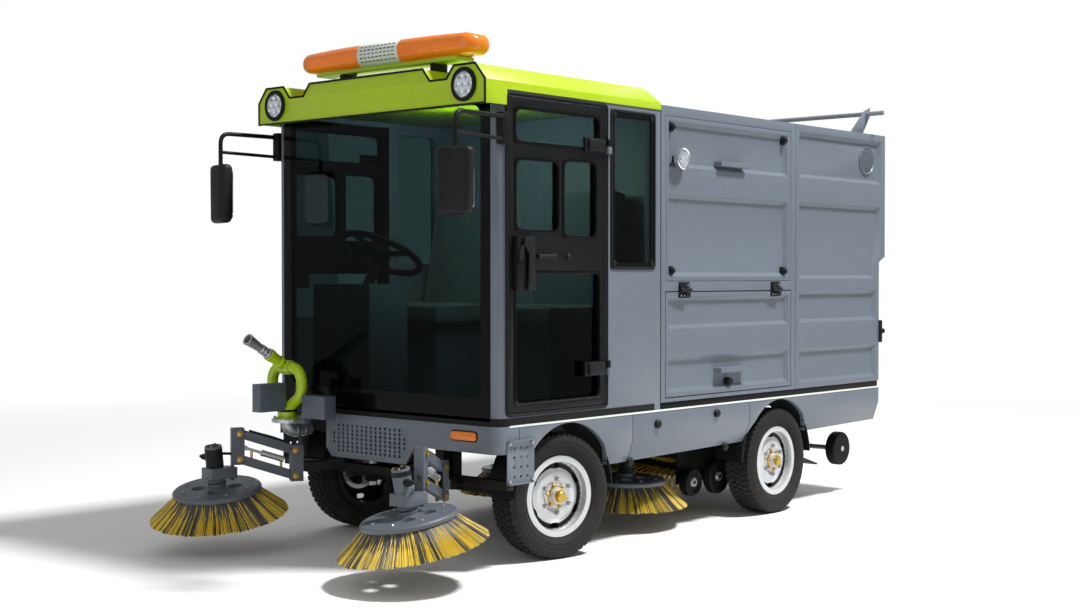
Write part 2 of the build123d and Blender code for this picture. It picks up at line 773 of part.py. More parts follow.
def add_brush_motor(centre, axis):
    """Gear motor and shaft above a brush, in the open part."""
    bar(centre + axis * MOTOR_FOOT, centre + axis * (MOTOR_FOOT + BRUSH_MOTOR_LEN), BRUSH_MOTOR_R)
    bar(centre, centre + axis * (MOTOR_FOOT + 1), BRUSH_SHAFT_R)


def make_brush(name, centre, axis):
    """Brush disc with its hub and its ring of bristles."""
    with BuildPart() as brush:
        with BuildSketch(section_plane(centre, axis)):
            with BuildLine():
                Polyline(
                    (BRUSH_SHAFT_R + FIT, -DISC_T / 2),
                    (BRUSH_SHAFT_R + FIT, DISC_T / 2 + BRUSH_HUB_H),
                    (BRUSH_HUB_R, DISC_T / 2 + BRUSH_HUB_H),
                    (BRUSH_HUB_R, DISC_T / 2),
                    (BRUSH_DISC_R, DISC_T / 2),
                    (BRUSH_DISC_R, 0),
                    (BRUSH_TIP_R, -BRUSH_DROP),
                    (BRUSH_TIP_R - BRISTLE_T, -BRUSH_DROP),
                    (BRUSH_DISC_R - BRISTLE_T, -DISC_T / 2),
                    close=True,
                )
            make_face()
        revolve(axis=Axis(centre, axis))
        across = section_plane(centre, axis).x_dir
        with BuildSketch(Plane(origin=centre - axis * DISC_T, x_dir=across, z_dir=axis)):
            with PolarLocations(DISC_HOLE_PCD, DISC_HOLES, start_angle=45):
                Circle(DISC_HOLE_R)
        extrude(amount=2 * DISC_T, mode=Mode.SUBTRACT)
        tuft_len = BRUSH_TIP_R - BRUSH_DISC_R
        with Locations(Plane(origin=centre - axis * BRUSH_DROP / 2, x_dir=across, z_dir=axis)):
            with PolarLocations(BRUSH_DISC_R + TUFT_ROOT + tuft_len / 2, BRUSH_TUFTS):
                Box(tuft_len, TUFT_GAP, BRUSH_DROP + DISC_T, mode=Mode.SUBTRACT)
    save(brush, name)


# Front brush posts with their motors, and all four disc brushes
for label, side in SIDES:
    centre = front_brush_centre(side)
    axis = front_brush_axis(side)
    pivot = post_pivot(side, 0)
    heading = link_heading(side)
    with BuildPart() as post:
        add_cheeks(pivot, heading, 1)
        add_brush_motor(centre, axis)
        web = heading * (CHEEK_TAIL + WEB_T / 2)
        with Locations(Plane(origin=pivot + web, x_dir=heading, z_dir=(0, 0, 1))):
            with Locations((0, 0, -POST_DROP / 2)):
                Box(WEB_T, 2 * CHEEK_AT + CHEEK_T, POST_DROP)
        shelf_z = centre.Z + MOTOR_FOOT + SHELF_UP
        shelf_start = Vector(pivot.X, pivot.Y, shelf_z) + web
        shelf_mid = centre + axis * ((shelf_z - centre.Z) / axis.Z)
        shelf_end = shelf_mid + (shelf_mid - shelf_start).normalized() * (BRUSH_MOTOR_R + CHEEK_T)
        beam(shelf_start, shelf_end, SHELF_W, SHELF_H)
    save(post, f"brush_post_{label}")
    make_brush(f"front_brush_{label}", centre, axis)
    make_brush(f"middle_brush_{label}", mid_brush_centre(side), mid_brush_axis(side))

# Drives of the middle brushes, hung from the rails
with BuildPart() as middle_drives:
    for _, side in SIDES:
        centre = mid_brush_centre(side)
        axis = mid_brush_axis(side)
        add_brush_motor(centre, axis)
        top = centre.Z + MOTOR_FOOT + BRUSH_MOTOR_LEN
        slab(
            side * RAIL_X - BRUSH_MOTOR_R, side * RAIL_X + BRUSH_MOTOR_R + 20,
            MID_BRUSH_STATION - BRUSH_MOTOR_R, MID_BRUSH_STATION + BRUSH_MOTOR_R,
            top - 40, top + 8,
        )
        slab(
            side * RAIL_X - RAIL_W / 2, side * RAIL_X + RAIL_W / 2,
            MID_BRUSH_STATION - BRUSH_MOTOR_R, MID_BRUSH_STATION + BRUSH_MOTOR_R, top, RAIL_Z,
        )
save(middle_drives, "middle_brush_drives")

# Broom: core with rows of bristles
with BuildPart() as broom:
    y_broom = y_at(BROOM_STATION)
    tip = HOUSING_X + HOUSING_T
    bar((-tip, y_broom, BROOM_Z), (tip, y_broom, BROOM_Z), BROOM_SHAFT_R)
    bar((-BROOM_HALF_W, y_broom, BROOM_Z), (BROOM_HALF_W, y_broom, BROOM_Z), BROOM_CORE_R)
    for row in range(BROOM_ROWS):
        turn = row * 360 / BROOM_ROWS
        with Locations(Location((0, y_broom, BROOM_Z), (turn, 0, 0))):
            with Locations((0, 0, BROOM_R / 2)):
                Box(2 * BROOM_HALF_W, BROOM_ROW_W, BROOM_R)
    bar(
        (-BROOM_HALF_W, y_broom, BROOM_Z), (BROOM_HALF_W, y_broom, BROOM_Z),
        BROOM_R, mode=Mode.INTERSECT,
    )
    bar((-tip, y_broom, BROOM_Z), (tip, y_broom, BROOM_Z), BROOM_SHAFT_R)
save(broom, "broom")

# Broom housing with its hangers and the guide wheels' pins
with BuildPart() as housing:
    for _, side in SIDES:
        slab(
            side * HOUSING_X, side * (HOUSING_X + HOUSING_T), HOUSING_FRONT, HOUSING_REAR,
            HOUSING_LOW, HOUSING_TOP,
        )
        for station in (HOUSING_FRONT, HOUSING_REAR - RAIL_W):
            slab(
                side * RAIL_X - RAIL_W / 2, side * RAIL_X + RAIL_W / 2, station, station + RAIL_W,
                HOUSING_TOP - 1, RAIL_Z,
            )
        for _, station, level, _ in GUIDE_WHEELS:
            bar(
                (side * (HOUSING_X + 1), y_at(station), level),
                (side * (GUIDE_X + GUIDE_W), y_at(station), level), GUIDE_PIN_R,
            )
            bar(
                (side * (HOUSING_X + 1), y_at(station), level),
                (side * (GUIDE_X - PLAY), y_at(station), level), GUIDE_PIN_R * 2,
            )
    slab(-HOUSING_X, HOUSING_X, HOUSING_FRONT, HOUSING_REAR, HOUSING_TOP - HOUSING_T, HOUSING_TOP)
    for start in (HOUSING_FRONT, HOUSING_REAR - HOUSING_T):
        slab(-HOUSING_X, HOUSING_X, start, start + HOUSING_T, BROOM_Z + 60, HOUSING_TOP)
    bar(
        (-HOUSING_X - HOUSING_T * 2, y_at(BROOM_STATION), BROOM_Z),
        (HOUSING_X + HOUSING_T * 2, y_at(BROOM_STATION), BROOM_Z),
        BROOM_SHAFT_R + FIT, mode=Mode.SUBTRACT,
    )
save(housing, "broom_housing")

for label, side in SIDES:
    for place, station, level, radius in GUIDE_WHEELS:
        hub = Vector(side * (GUIDE_X + GUIDE_W / 2), y_at(station), level)
        axis = Vector(side, 0, 0)
        with BuildPart() as guide_wheel:
            with BuildSketch(section_plane(hub, axis)):
                with BuildLine():
                    half = GUIDE_W / 2
                    Polyline(
                        (GUIDE_PIN_R + FIT, -half + 4),
                        (GUIDE_PIN_R + FIT, half - 2),
                        (GUIDE_PIN_R + 12, half - 2),
                        (GUIDE_PIN_R + 16, half - 12),
                        (radius - 22, half - 12),
                        (radius - 16, half),
                        (radius - 6, half),
                        (radius, half - 8),
                        (radius, -half + 8),
                        (radius - 6, -half),
                        (radius - 16, -half),
                        (radius - 22, -half + 12),
                        (GUIDE_PIN_R + 16, -half + 12),
                        (GUIDE_PIN_R + 12, -half + 4),
                        close=True,
                    )
                make_face()
            revolve(axis=Axis(hub, axis))
        save(guide_wheel, f"guide_wheel_{place}_{label}")

# Tail wheels on one axle
with BuildPart() as tail_wheels:
    y_tail = y_at(TAIL_WHEEL_STATION)
    reach = TAIL_WHEEL_X + TAIL_WHEEL_W
    bar((-reach - 4, y_tail, TAIL_WHEEL_Z), (reach + 4, y_tail, TAIL_WHEEL_Z), TAIL_AXLE_R)
    for _, side in SIDES:
        bar(
            (side * TAIL_WHEEL_X, y_tail, TAIL_WHEEL_Z), (side * reach, y_tail, TAIL_WHEEL_Z),
            TAIL_WHEEL_R,
        )
    rounded = tail_wheels.edges().filter_by(GeomType.CIRCLE).filter_by(
        lambda edge: edge.radius > TAIL_WHEEL_R - 1
    )
    fillet(rounded, 12)
save(tail_wheels, "tail_wheels")

# Front bumper band round the corners, with a notch and a pierced apron
with BuildPart() as bumper:
    with BuildSketch(Plane.XY.offset(BUMPER_LOW)):
        mid_y = (y_at(-BUMPER_OUT) + y_at(BUMPER_REAR)) / 2
        depth = BUMPER_REAR + BUMPER_OUT
        with Locations((0, mid_y)):
            Rectangle(2 * HALF_W, depth)
        fillet(vertices().group_by(Axis.Y)[0], CORNER_R)
        with Locations((0, mid_y + BUMPER_T)):
            Rectangle(2 * (HALF_W - BUMPER_T), depth, mode=Mode.SUBTRACT)
    extrude(amount=RAIL_TOP - BUMPER_LOW)
    slab(NOTCH_OUTER, NOTCH_INNER, -BUMPER_OUT, BUMPER_T, BUMPER_LOW, RAIL_TOP, Mode.SUBTRACT)
    with BuildSketch(Plane.XZ.offset(-y_at(-BUMPER_OUT))):
        with BuildLine():
            Polyline(
                (NOTCH_INNER, BUMPER_LOW + 1),
                (NOTCH_INNER, APRON_LOW + APRON_CHAMFER),
                (NOTCH_INNER + APRON_CHAMFER, APRON_LOW),
                (APRON_RIGHT, APRON_LOW),
                (APRON_RIGHT + APRON_SLANT, BUMPER_LOW + 1),
                close=True,
            )
        make_face()
    extrude(amount=-APRON_T)
    with BuildSketch(Plane.XZ.offset(-y_at(-BUMPER_OUT))):
        for row in range(GRILLE_ROWS):
            level = row - GRILLE_ROWS // 2
            columns = GRILLE_COLUMNS if abs(level) <= 1 else GRILLE_COLUMNS - 2
            with Locations((GRILLE_X, GRILLE_Z + level * GRILLE_PITCH_Z)):
                with GridLocations(GRILLE_PITCH_X, GRILLE_PITCH_Z, columns, 1):
                    Circle(GRILLE_HOLE_R)
    extrude(amount=-BUMPER_T, mode=Mode.SUBTRACT)
save(bumper, "front_bumper")

# Folded step plates with their pierced faces
with BuildPart() as steps:
    for _, side in SIDES:
        x_in = side * HALF_W
        x_out = side * (HALF_W + STEP_T)
        slab(x_in, x_out, STEP_FRONT, STEP_REAR, STEP_LOW, STEP_TOP)
        for z0 in (STEP_LOW, STEP_TOP - STEP_T):
            slab(x_in, side * (HALF_W + STEP_LIP), STEP_FRONT, STEP_REAR, z0, z0 + STEP_T)
        centre = ((STEP_FRONT + STEP_REAR) / 2, (STEP_LOW + STEP_TOP) / 2)
        with Locations(Location((x_in, y_at(centre[0]), centre[1]), (0, 90, 0))):
            with GridLocations(STEP_HOLE_PITCH, STEP_HOLE_PITCH, 4, 3):
                Cylinder(STEP_HOLE_R, 4 * STEP_T, mode=Mode.SUBTRACT)
            span_z = STEP_TOP - STEP_LOW - 2 * STEP_BOLT_INSET
            span_y = STEP_REAR - STEP_FRONT - 2 * STEP_BOLT_INSET
            with GridLocations(span_z, span_y, 2, 2):
                Cylinder(STEP_BOLT_R, 4 * STEP_T, mode=Mode.SUBTRACT)

# Side skirts, creased along their length, with wheel arches, panel seams and the step plates
with BuildPart() as skirts:
    for _, side in SIDES:
        for station in (BUMPER_REAR + SEAM, BOX_LOW_REAR):
            share = station / BOX_LOW_REAR
            crease = SKIRT_CREASE + SKIRT_CREASE_RISE * share
            low = SKIRT_LOW + SKIRT_LOW_RISE * share
            with BuildSketch(Plane.XZ.offset(-y_at(station))):
                with BuildLine():
                    Polyline(
                        (side * HALF_W, RAIL_TOP),
                        (side * HALF_W, crease),
                        (side * (HALF_W - SKIRT_TUCK), low),
                        (side * (HALF_W - SKIRT_TUCK - SKIRT_T), low),
                        (side * (HALF_W - SKIRT_T), crease),
                        (side * (HALF_W - SKIRT_T), RAIL_TOP),
                        close=True,
                    )
                make_face()
        loft(ruled=True)
    for station in (FRONT_AXLE, REAR_AXLE):
        with Locations(Location((0, y_at(station), TYRE_R), (0, 90, 0))):
            Cylinder(ARCH_R, 3 * HALF_W, mode=Mode.SUBTRACT)
    for station in SKIRT_SEAMS:
        slab(
            -2 * HALF_W, 2 * HALF_W, station - SEAM / 2, station + SEAM / 2, 0, RAIL_TOP + 1,
            Mode.SUBTRACT,
        )
    add(steps.part)
save(skirts, "side_skirts")

# Cab shell: floor, pillars, rear wall and the openings for screen, doors and quarter lights
with BuildPart() as cab:
    with BuildSketch(Plane.XY.offset(RAIL_TOP)):
        with Locations((0, y_at(CAB_LEN / 2))):
            Rectangle(2 * HALF_W, CAB_LEN)
        fillet(vertices().group_by(Axis.Y)[0], CORNER_R)
    extrude(amount=CAB_TOP - RAIL_TOP)
    inner_x = HALF_W - WALL
    slab(-inner_x, inner_x, WALL, CAB_LEN - WALL, DECK_TOP, CAB_TOP, Mode.SUBTRACT)
    slab(
        -SCREEN_HALF_W, SCREEN_HALF_W, -1, WALL + 1, RAIL_TOP + SCREEN_SILL, SCREEN_TOP,
        Mode.SUBTRACT,
    )
    slab(
        -2 * HALF_W, 2 * HALF_W, DOOR_FRONT - PLAY, DOOR_REAR + PLAY, DOOR_LOW - PLAY, DOOR_TOP + PLAY,
        Mode.SUBTRACT,
    )
    slab(
        -2 * HALF_W, 2 * HALF_W, QUARTER_FRONT + QUARTER_RIM, QUARTER_REAR - QUARTER_RIM,
        QUARTER_LOW + QUARTER_RIM, QUARTER_TOP - QUARTER_RIM, Mode.SUBTRACT,
    )
    for _, side in SIDES:
        slab(
            side * (HALF_W - GLASS_T), side * (HALF_W + 1), QUARTER_FRONT - FIT, QUARTER_REAR + FIT,
            QUARTER_LOW - FIT, QUARTER_TOP + FIT, Mode.SUBTRACT,
        )
        for level in DOOR_HINGES_Z:
            pin_x = side * (HALF_W + HINGE_OUT)
            pin_y = y_at(DOOR_REAR + PLAY)
            slab(
                side * (HALF_W - 1), side * (HALF_W + HINGE_R), DOOR_REAR + PLAY + HINGE_R,
                QUARTER_FRONT - 2, level - HINGE_H / 2, level - 1,
            )
            bar((pin_x, pin_y, level - HINGE_H / 2), (pin_x, pin_y, level - 1), HINGE_R)
            slab(
                side * (HALF_W + 3), side * (HALF_W + HINGE_R), DOOR_REAR + PLAY,
                DOOR_REAR + PLAY + HINGE_R + 1, level - HINGE_H / 2, level - 1,
            )
            bar((pin_x, pin_y, level - HINGE_H / 2), (pin_x, pin_y, level + HINGE_H / 2), HINGE_PIN_R)
save(cab, "cab_shell")

# Windscreen and quarter lights
with BuildPart() as cab_glass:
    slab(
        -SCREEN_HALF_W + FIT, SCREEN_HALF_W - FIT, 0, GLASS_T,
        RAIL_TOP + SCREEN_SILL + FIT, SCREEN_TOP - FIT,
    )
    for _, side in SIDES:
        slab(
            side * (HALF_W - GLASS_T), side * HALF_W, QUARTER_FRONT, QUARTER_REAR,
            QUARTER_LOW, QUARTER_TOP,
        )
save(cab_glass, "cab_glass")

# Cab doors, hung at their rear edge, and their panes
for label, side in SIDES:
    with BuildPart() as door:
        x_in = side * (HALF_W - WALL)
        x_out = side * HALF_W
        slab(x_in, x_out, DOOR_FRONT, DOOR_REAR, DOOR_LOW, DOOR_TOP)
        for front, rear, low, top in DOOR_PANES:
            slab(x_in - side, x_out + side, front, rear, low, top, Mode.SUBTRACT)
        for level in DOOR_HINGES_Z:
            pin = Vector(side * (HALF_W + HINGE_OUT), y_at(DOOR_REAR + PLAY), level)
            slab(
                x_out - side, side * (HALF_W + HINGE_R), DOOR_REAR - HINGE_STRAP,
                DOOR_REAR - HINGE_R, level - HINGE_H / 2, level + HINGE_H / 2,
            )
            bar(pin, pin + Vector(0, 0, HINGE_H / 2), HINGE_R)
            slab(
                side * (HALF_W + 3), side * (HALF_W + HINGE_R), DOOR_REAR - HINGE_R - 1, DOOR_REAR + PLAY,
                level, level + HINGE_H / 2,
            )
            bar(pin, pin + Vector(0, 0, HINGE_H), HINGE_PIN_R + FIT, mode=Mode.SUBTRACT)
        front, rear, low, top = DOOR_HANDLE
        slab(x_out - side, side * (HALF_W + HANDLE_OUT), front, rear, low, top)
    save(door, f"door_{label}")
    with BuildPart() as panes:
        for front, rear, low, top in DOOR_PANES:
            slab(
                side * (HALF_W - WALL / 2), side * (HALF_W - WALL / 2 - PANE_T),
                front + FIT, rear - FIT, low + FIT, top - FIT,
            )
    save(panes, f"door_panes_{label}")

# Roof canopy with its fascia, lamp pockets and sloped rear edge
with BuildPart() as roof:
    with BuildSketch(Plane.XZ.offset(-y_at(ROOF_FRONT))):
        with BuildLine():
            half = [(ROOF_HALF_W, CAB_TOP), (ROOF_HALF_W, ROOF_SIDE_TOP), *ROOF_OUTLINE]
            Polyline(*half, *[(-x, z) for x, z in reversed(half)], close=True)
        make_face()
    extrude(amount=ROOF_FRONT - CAB_LEN)
    slab(-ROOF_HALF_W, ROOF_HALF_W, ROOF_FRONT, ROOF_FRONT + FASCIA_T, FASCIA_LOW, CAB_TOP + 1)
    for _, side in SIDES:
        slab(
            side * (HALF_W + FIT), side * ROOF_HALF_W, ROOF_FRONT, CHEEK_REAR, FASCIA_LOW, CAB_TOP + 1,
        )
        lamp = Vector(side * LAMP_X, y_at(ROOF_FRONT), LAMP_Z)
        bar(lamp, lamp + Vector(0, LAMP_POCKET, 0), LAMP_R + FIT, mode=Mode.SUBTRACT)
    with BuildSketch(Plane.YZ.offset(-ROOF_HALF_W)):
        with BuildLine():
            Polyline(
                (y_at(CAB_LEN - ROOF_REAR_SLOPE), ROOF_TOP),
                (y_at(CAB_LEN), ROOF_TOP),
                (y_at(CAB_LEN), ROOF_SIDE_TOP),
                close=True,
            )
        make_face()
    extrude(amount=2 * ROOF_HALF_W, mode=Mode.SUBTRACT)
save(roof, "roof_canopy")


def marker_box(middle, front_face):
    """Amber marker standing on a front face, in the open part."""
    slab(
        middle - MARKER_W / 2, middle + MARKER_W / 2, front_face - MARKER_T, front_face,
        MARKER_Z - MARKER_H / 2, MARKER_Z + MARKER_H / 2,
    )


# Head lamps in the fascia, work lamps on the box, front markers and tail lamps
with BuildPart() as lamps:
    marker_box(MARKER_LEFT_X, -BUMPER_OUT)
    marker_box(MARKER_RIGHT_X, BUMPER_T - BUMPER_OUT)
    for _, side in SIDES:
        lamp = Vector(side * LAMP_X, y_at(ROOF_FRONT), LAMP_Z)
        bar(lamp - Vector(0, LAMP_OUT, 0), lamp + Vector(0, LAMP_POCKET - FIT, 0), LAMP_R)
        lamp_x = HALF_W + SEAM
        lamp_y = y_at(WORK_LAMP_STATION)
        bar(
            (side * lamp_x, lamp_y, WORK_LAMP_Z),
            (side * (lamp_x + WORK_LAMP_T), lamp_y, WORK_LAMP_Z), WORK_LAMP_R,
        )
        bar(
            (side * (HALF_W - RECESS_DEPTH), lamp_y, WORK_LAMP_Z),
            (side * (lamp_x + 1), lamp_y, WORK_LAMP_Z), WORK_LAMP_FOOT_R,
        )
        x0, x1, z0, z1 = TAIL_LAMP
        slab(side * x0, side * x1, BOX_LOW_REAR, BOX_LOW_REAR + TAIL_LAMP_T, z0, z1)
save(lamps, "lamps")

# Beacon bar on its feet
with BuildPart() as beacon:
    bar_low = ROOF_TOP + BAR_FOOT_H
    with BuildSketch(Plane.XY.offset(bar_low)):
        with Locations((0, y_at(BAR_STATION))):
            RectangleRounded(BAR_LEN, BAR_DEPTH, BAR_CORNER_R)
    extrude(amount=BAR_H)
    fillet(beacon.edges().group_by(Axis.Z)[-1], BAR_TOP_R)
    fillet(beacon.edges().group_by(Axis.Z)[0], BAR_LOW_R)
    for _, side in SIDES:
        x0 = side * BAR_FOOT_X
        slab(
            x0 - BAR_FOOT / 2, x0 + BAR_FOOT / 2, BAR_STATION - BAR_FOOT, BAR_STATION + BAR_FOOT,
            ROOF_TOP, bar_low + 1,
        )
save(beacon, "beacon_bar")


def press_fields(side, fields, cut_field=None):
    """Press sloped fields into a side panel of the open part; one may have its lower rear corner cut."""
    with BuildSketch(Plane.YZ.offset(side * HALF_W)) as pressed:
        for field in fields:
            front, rear, low, top = field
            corner = [(rear, low)]
            if field == cut_field:
                cut_station, cut_low, cut_top = FIELD_CUT
                corner = [(cut_station, low), (cut_station, cut_low), (rear, cut_top)]
            with BuildLine():
                points = [(front, low), *corner, (rear, top), (front, top)]
                Polyline(*[(y_at(station), level) for station, level in points], close=True)
            make_face()
    extrude(pressed.sketch, amount=-side * RECESS_DEPTH, taper=RECESS_TAPER, mode=Mode.SUBTRACT)


# Box body, hollow, with pressed fields, hatch openings and the tail opening
BOX_IN = HALF_W - WALL
with BuildPart() as box:
    with BuildSketch(Plane.YZ.offset(-HALF_W)):
        with BuildLine():
            Polyline(
                (y_at(BOX_FRONT), BOX_LOW),
                (y_at(BOX_LOW_REAR), BOX_LOW),
                (y_at(BOX_LOW_REAR), BOX_STEP_LOW),
                (y_at(BOX_REAR), BOX_STEP_TOP),
                (y_at(BOX_REAR), BOX_TOP),
                (y_at(BOX_FRONT), BOX_TOP),
                close=True,
            )
        make_face()
    extrude(amount=2 * HALF_W)
    slab(
        -BOX_IN, BOX_IN, BOX_FRONT + WALL, BOX_LOW_REAR - WALL, BOX_LOW + WALL, BOX_TOP - WALL,
        Mode.SUBTRACT,
    )
    slab(
        -BOX_IN, BOX_IN, BOX_LOW_REAR - WALL - 1, BOX_REAR + 1, TAIL_DOOR_LOW - PLAY, BOX_TOP - WALL,
        Mode.SUBTRACT,
    )
    front, rear, low, top = LOWER_HATCH
    slab(
        -2 * HALF_W, 2 * HALF_W, front - PLAY, rear + PLAY, low - PLAY, top + PLAY, Mode.SUBTRACT,
    )
    front, rear, low, top = UPPER_HATCH
    for _, side in SIDES:
        slab(
            side * (HALF_W - HATCH_DEPTH), side * (HALF_W + 1), front - SEAM / 2, rear + SEAM / 2,
            low - SEAM / 2, top + SEAM / 2, Mode.SUBTRACT,
        )
        slab(
            side * (HALF_W - GROOVE), side * (HALF_W + 1), BOX_SEAM - SEAM / 2, BOX_SEAM + SEAM / 2,
            BOX_LOW, BOX_TOP, Mode.SUBTRACT,
        )
        press_fields(side, REAR_FIELDS, REAR_FIELDS[1])
        bar(
            (side * (HALF_W - RECESS_DEPTH - 1), y_at(VENT_STATION), VENT_Z),
            (side * (HALF_W - RECESS_DEPTH + 6), y_at(VENT_STATION), VENT_Z), VENT_R,
        )
        for station in HATCH_HINGES:
            hinge_x = side * (HALF_W + HATCH_HINGE_OUT)
            hinge_z = LOWER_HATCH[3] + HATCH_HINGE_UP
            start = y_at(station - HATCH_HINGE_W / 2)
            half_w = HATCH_HINGE_W / 2
            slab(
                side * (HALF_W - 1), side * (HALF_W + HATCH_HINGE_OUT), station - half_w, station - 1,
                hinge_z, hinge_z + 30,
            )
            bar((hinge_x, start, hinge_z), (hinge_x, start + half_w - 1, hinge_z), HINGE_R - 1)
            bar((hinge_x, start, hinge_z), (hinge_x, start + 2 * half_w, hinge_z), HINGE_PIN_R)
        tail_y = y_at(BOX_REAR - TAIL_DOOR_SET - TAIL_DOOR_T / 2)
        tail_z = TAIL_DOOR_TOP - TAIL_DOOR_T / 2
        bar(
            (side * (BOX_IN + 1), tail_y, tail_z), (side * (BOX_IN - TAIL_PIN_LEN), tail_y, tail_z),
            TAIL_PIN_R,
        )
save(box, "box_body")

# Upper hatch panels seated in the box sides
with BuildPart() as upper_hatches:
    front, rear, low, top = UPPER_HATCH
    for _, side in SIDES:
        slab(side * (HALF_W - HATCH_DEPTH), side * HALF_W, front, rear, low, top)
        press_fields(side, UPPER_FIELDS)
        slab(
            side * (HALF_W - RECESS_DEPTH - 1), side * (HALF_W + HANDLE_OUT),
            HATCH_HANDLE_STATION - HATCH_HANDLE_W / 2, HATCH_HANDLE_STATION + HATCH_HANDLE_W / 2,
            HATCH_HANDLE_Z[1] - 12, HATCH_HANDLE_Z[1] + 12,
        )
save(upper_hatches, "upper_hatches")

# Lower hatches, hinged along their top edge
for label, side in SIDES:
    with BuildPart() as hatch:
        front, rear, low, top = LOWER_HATCH
        slab(side * (HALF_W - WALL), side * HALF_W, front, rear, low, top)
        press_fields(side, LOWER_FIELDS)
        slab(
            side * (HALF_W - RECESS_DEPTH - 1), side * (HALF_W + HANDLE_OUT),
            HATCH_HANDLE_STATION - HATCH_HANDLE_W / 2, HATCH_HANDLE_STATION + HATCH_HANDLE_W / 2,
            HATCH_HANDLE_Z[0] - 12, HATCH_HANDLE_Z[0] + 12,
        )
        for station in HATCH_HINGES:
            hinge_x = side * (HALF_W + HATCH_HINGE_OUT)
            hinge_z = top + HATCH_HINGE_UP
            start = y_at(station + 1)
            half_w = HATCH_HINGE_W / 2
            slab(
                side * (HALF_W - 1), side * (HALF_W + HATCH_HINGE_OUT), station + 1, station + half_w,
                top - 24, top - 2,
            )
            slab(
                side * (HALF_W + 3), side * (HALF_W + HATCH_HINGE_OUT), station + 1, station + half_w,
                top - 3, hinge_z,
            )
            bar((hinge_x, start, hinge_z), (hinge_x, start + half_w - 1, hinge_z), HINGE_R - 1)
            bar(
                (hinge_x, start - 1, hinge_z), (hinge_x, start + half_w, hinge_z),
                HINGE_PIN_R + FIT, mode=Mode.SUBTRACT,
            )
    save(hatch, f"lower_hatch_{label}")

# Tail door, hung on pins at its rounded top edge
with BuildPart() as tail_door:
    door_x = BOX_IN - PLAY * 2
    rear_face = BOX_REAR - TAIL_DOOR_SET
    axis_z = TAIL_DOOR_TOP - TAIL_DOOR_T / 2
    axis_y = y_at(rear_face - TAIL_DOOR_T / 2)
    slab(-door_x, door_x, rear_face - TAIL_DOOR_T, rear_face, TAIL_DOOR_LOW, axis_z)
    bar((-door_x, axis_y, axis_z), (door_x, axis_y, axis_z), TAIL_DOOR_T / 2)
    for _, side in SIDES:
        bar(
            (side * (door_x + 1), axis_y, axis_z),
            (side * (BOX_IN - TAIL_PIN_LEN - 1), axis_y, axis_z), TAIL_PIN_R + FIT, mode=Mode.SUBTRACT,
        )
save(tail_door, "tail_door")

# Cross tube on two curved brackets at the rear of the box roof
with BuildPart() as rear_rack:
    tube_y = y_at(RAIL_TUBE_STATION)
    bar((-RAIL_TUBE_HALF, tube_y, RAIL_TUBE_Z), (RAIL_TUBE_HALF, tube_y, RAIL_TUBE_Z), RAIL_TUBE_R)
    for _, side in SIDES:
        with BuildSketch(Plane.YZ.offset(side * RACK_X - RACK_T / 2)):
            with BuildLine():
                Polyline(
                    (y_at(RACK_FRONT), BOX_TOP),
                    (y_at(RACK_REAR), BOX_TOP),
                    (y_at(RAIL_TUBE_STATION) + 3 * RAIL_TUBE_R, RAIL_TUBE_Z - RAIL_TUBE_R),
                    (y_at(RAIL_TUBE_STATION) + 3 * RAIL_TUBE_R, RAIL_TUBE_Z + 3 * RAIL_TUBE_R),
                    (y_at(RAIL_TUBE_STATION) - 2 * RAIL_TUBE_R, RAIL_TUBE_Z + RAIL_TUBE_R),
                    close=True,
                )
            make_face()
        extrude(amount=RACK_T)
save(rear_rack, "rear_rack")

# Mirrors on forward arms
with BuildPart() as mirrors:
    for _, side in SIDES:
        foot_y = y_at(MIRROR_FOOT_STATION)
        head_y = y_at(MIRROR_STATION)
        foot_x = side * (HALF_W + MIRROR_ARM_R)
        head_x = side * MIRROR_X
        pad_low = MIRROR_BRACE_Z - 2 * MIRROR_ARM_R
        pad_top = MIRROR_ARM_Z + 2 * MIRROR_ARM_R
        slab(
            side * (HALF_W - CORNER_R / 2), side * (HALF_W + 2 * MIRROR_ARM_R), -BUMPER_OUT,
            DOOR_FRONT - 2 * PLAY, pad_low, pad_top,
        )
        corner = Vector(side * (HALF_W - CORNER_R), y_at(CORNER_R), pad_low - 1)
        bar(corner, corner + Vector(0, 0, pad_top), CORNER_R + FIT, mode=Mode.SUBTRACT)
        bar((foot_x, foot_y, MIRROR_ARM_Z), (head_x, head_y, MIRROR_ARM_Z), MIRROR_ARM_R)
        bar((foot_x, foot_y, MIRROR_BRACE_Z), (head_x, head_y, MIRROR_BRACE_Z), MIRROR_ARM_R)
        post_top = MIRROR_ARM_Z + 2 * MIRROR_ARM_R
        bar((head_x, head_y, MIRROR_TOP - 30), (head_x, head_y, post_top), MIRROR_POST_R)
        turned = Location((head_x, head_y, (MIRROR_LOW + MIRROR_TOP) / 2), (0, 0, side * MIRROR_TURN))
        with Locations(turned):
            Box(MIRROR_W, MIRROR_DEPTH, MIRROR_TOP - MIRROR_LOW)
    uprights = mirrors.edges().filter_by(Axis.Z).filter_by(
        lambda edge: edge.center().Z < MIRROR_TOP and edge.center().Y < y_at(MIRROR_STATION) + MIRROR_W
    )
    fillet(uprights, MIRROR_DEPTH * 0.4)
save(mirrors, "mirrors")

# Seat bases, cushions and backs
with BuildPart() as seat_bases:
    for seat_x in SEAT_X:
        slab(
            seat_x - SEAT_W * 0.42, seat_x + SEAT_W * 0.42, SEAT_FRONT + 40, SEAT_REAR - 20,
            DECK_TOP, SEAT_BASE_TOP,
        )
save(seat_bases, "seat_bases")

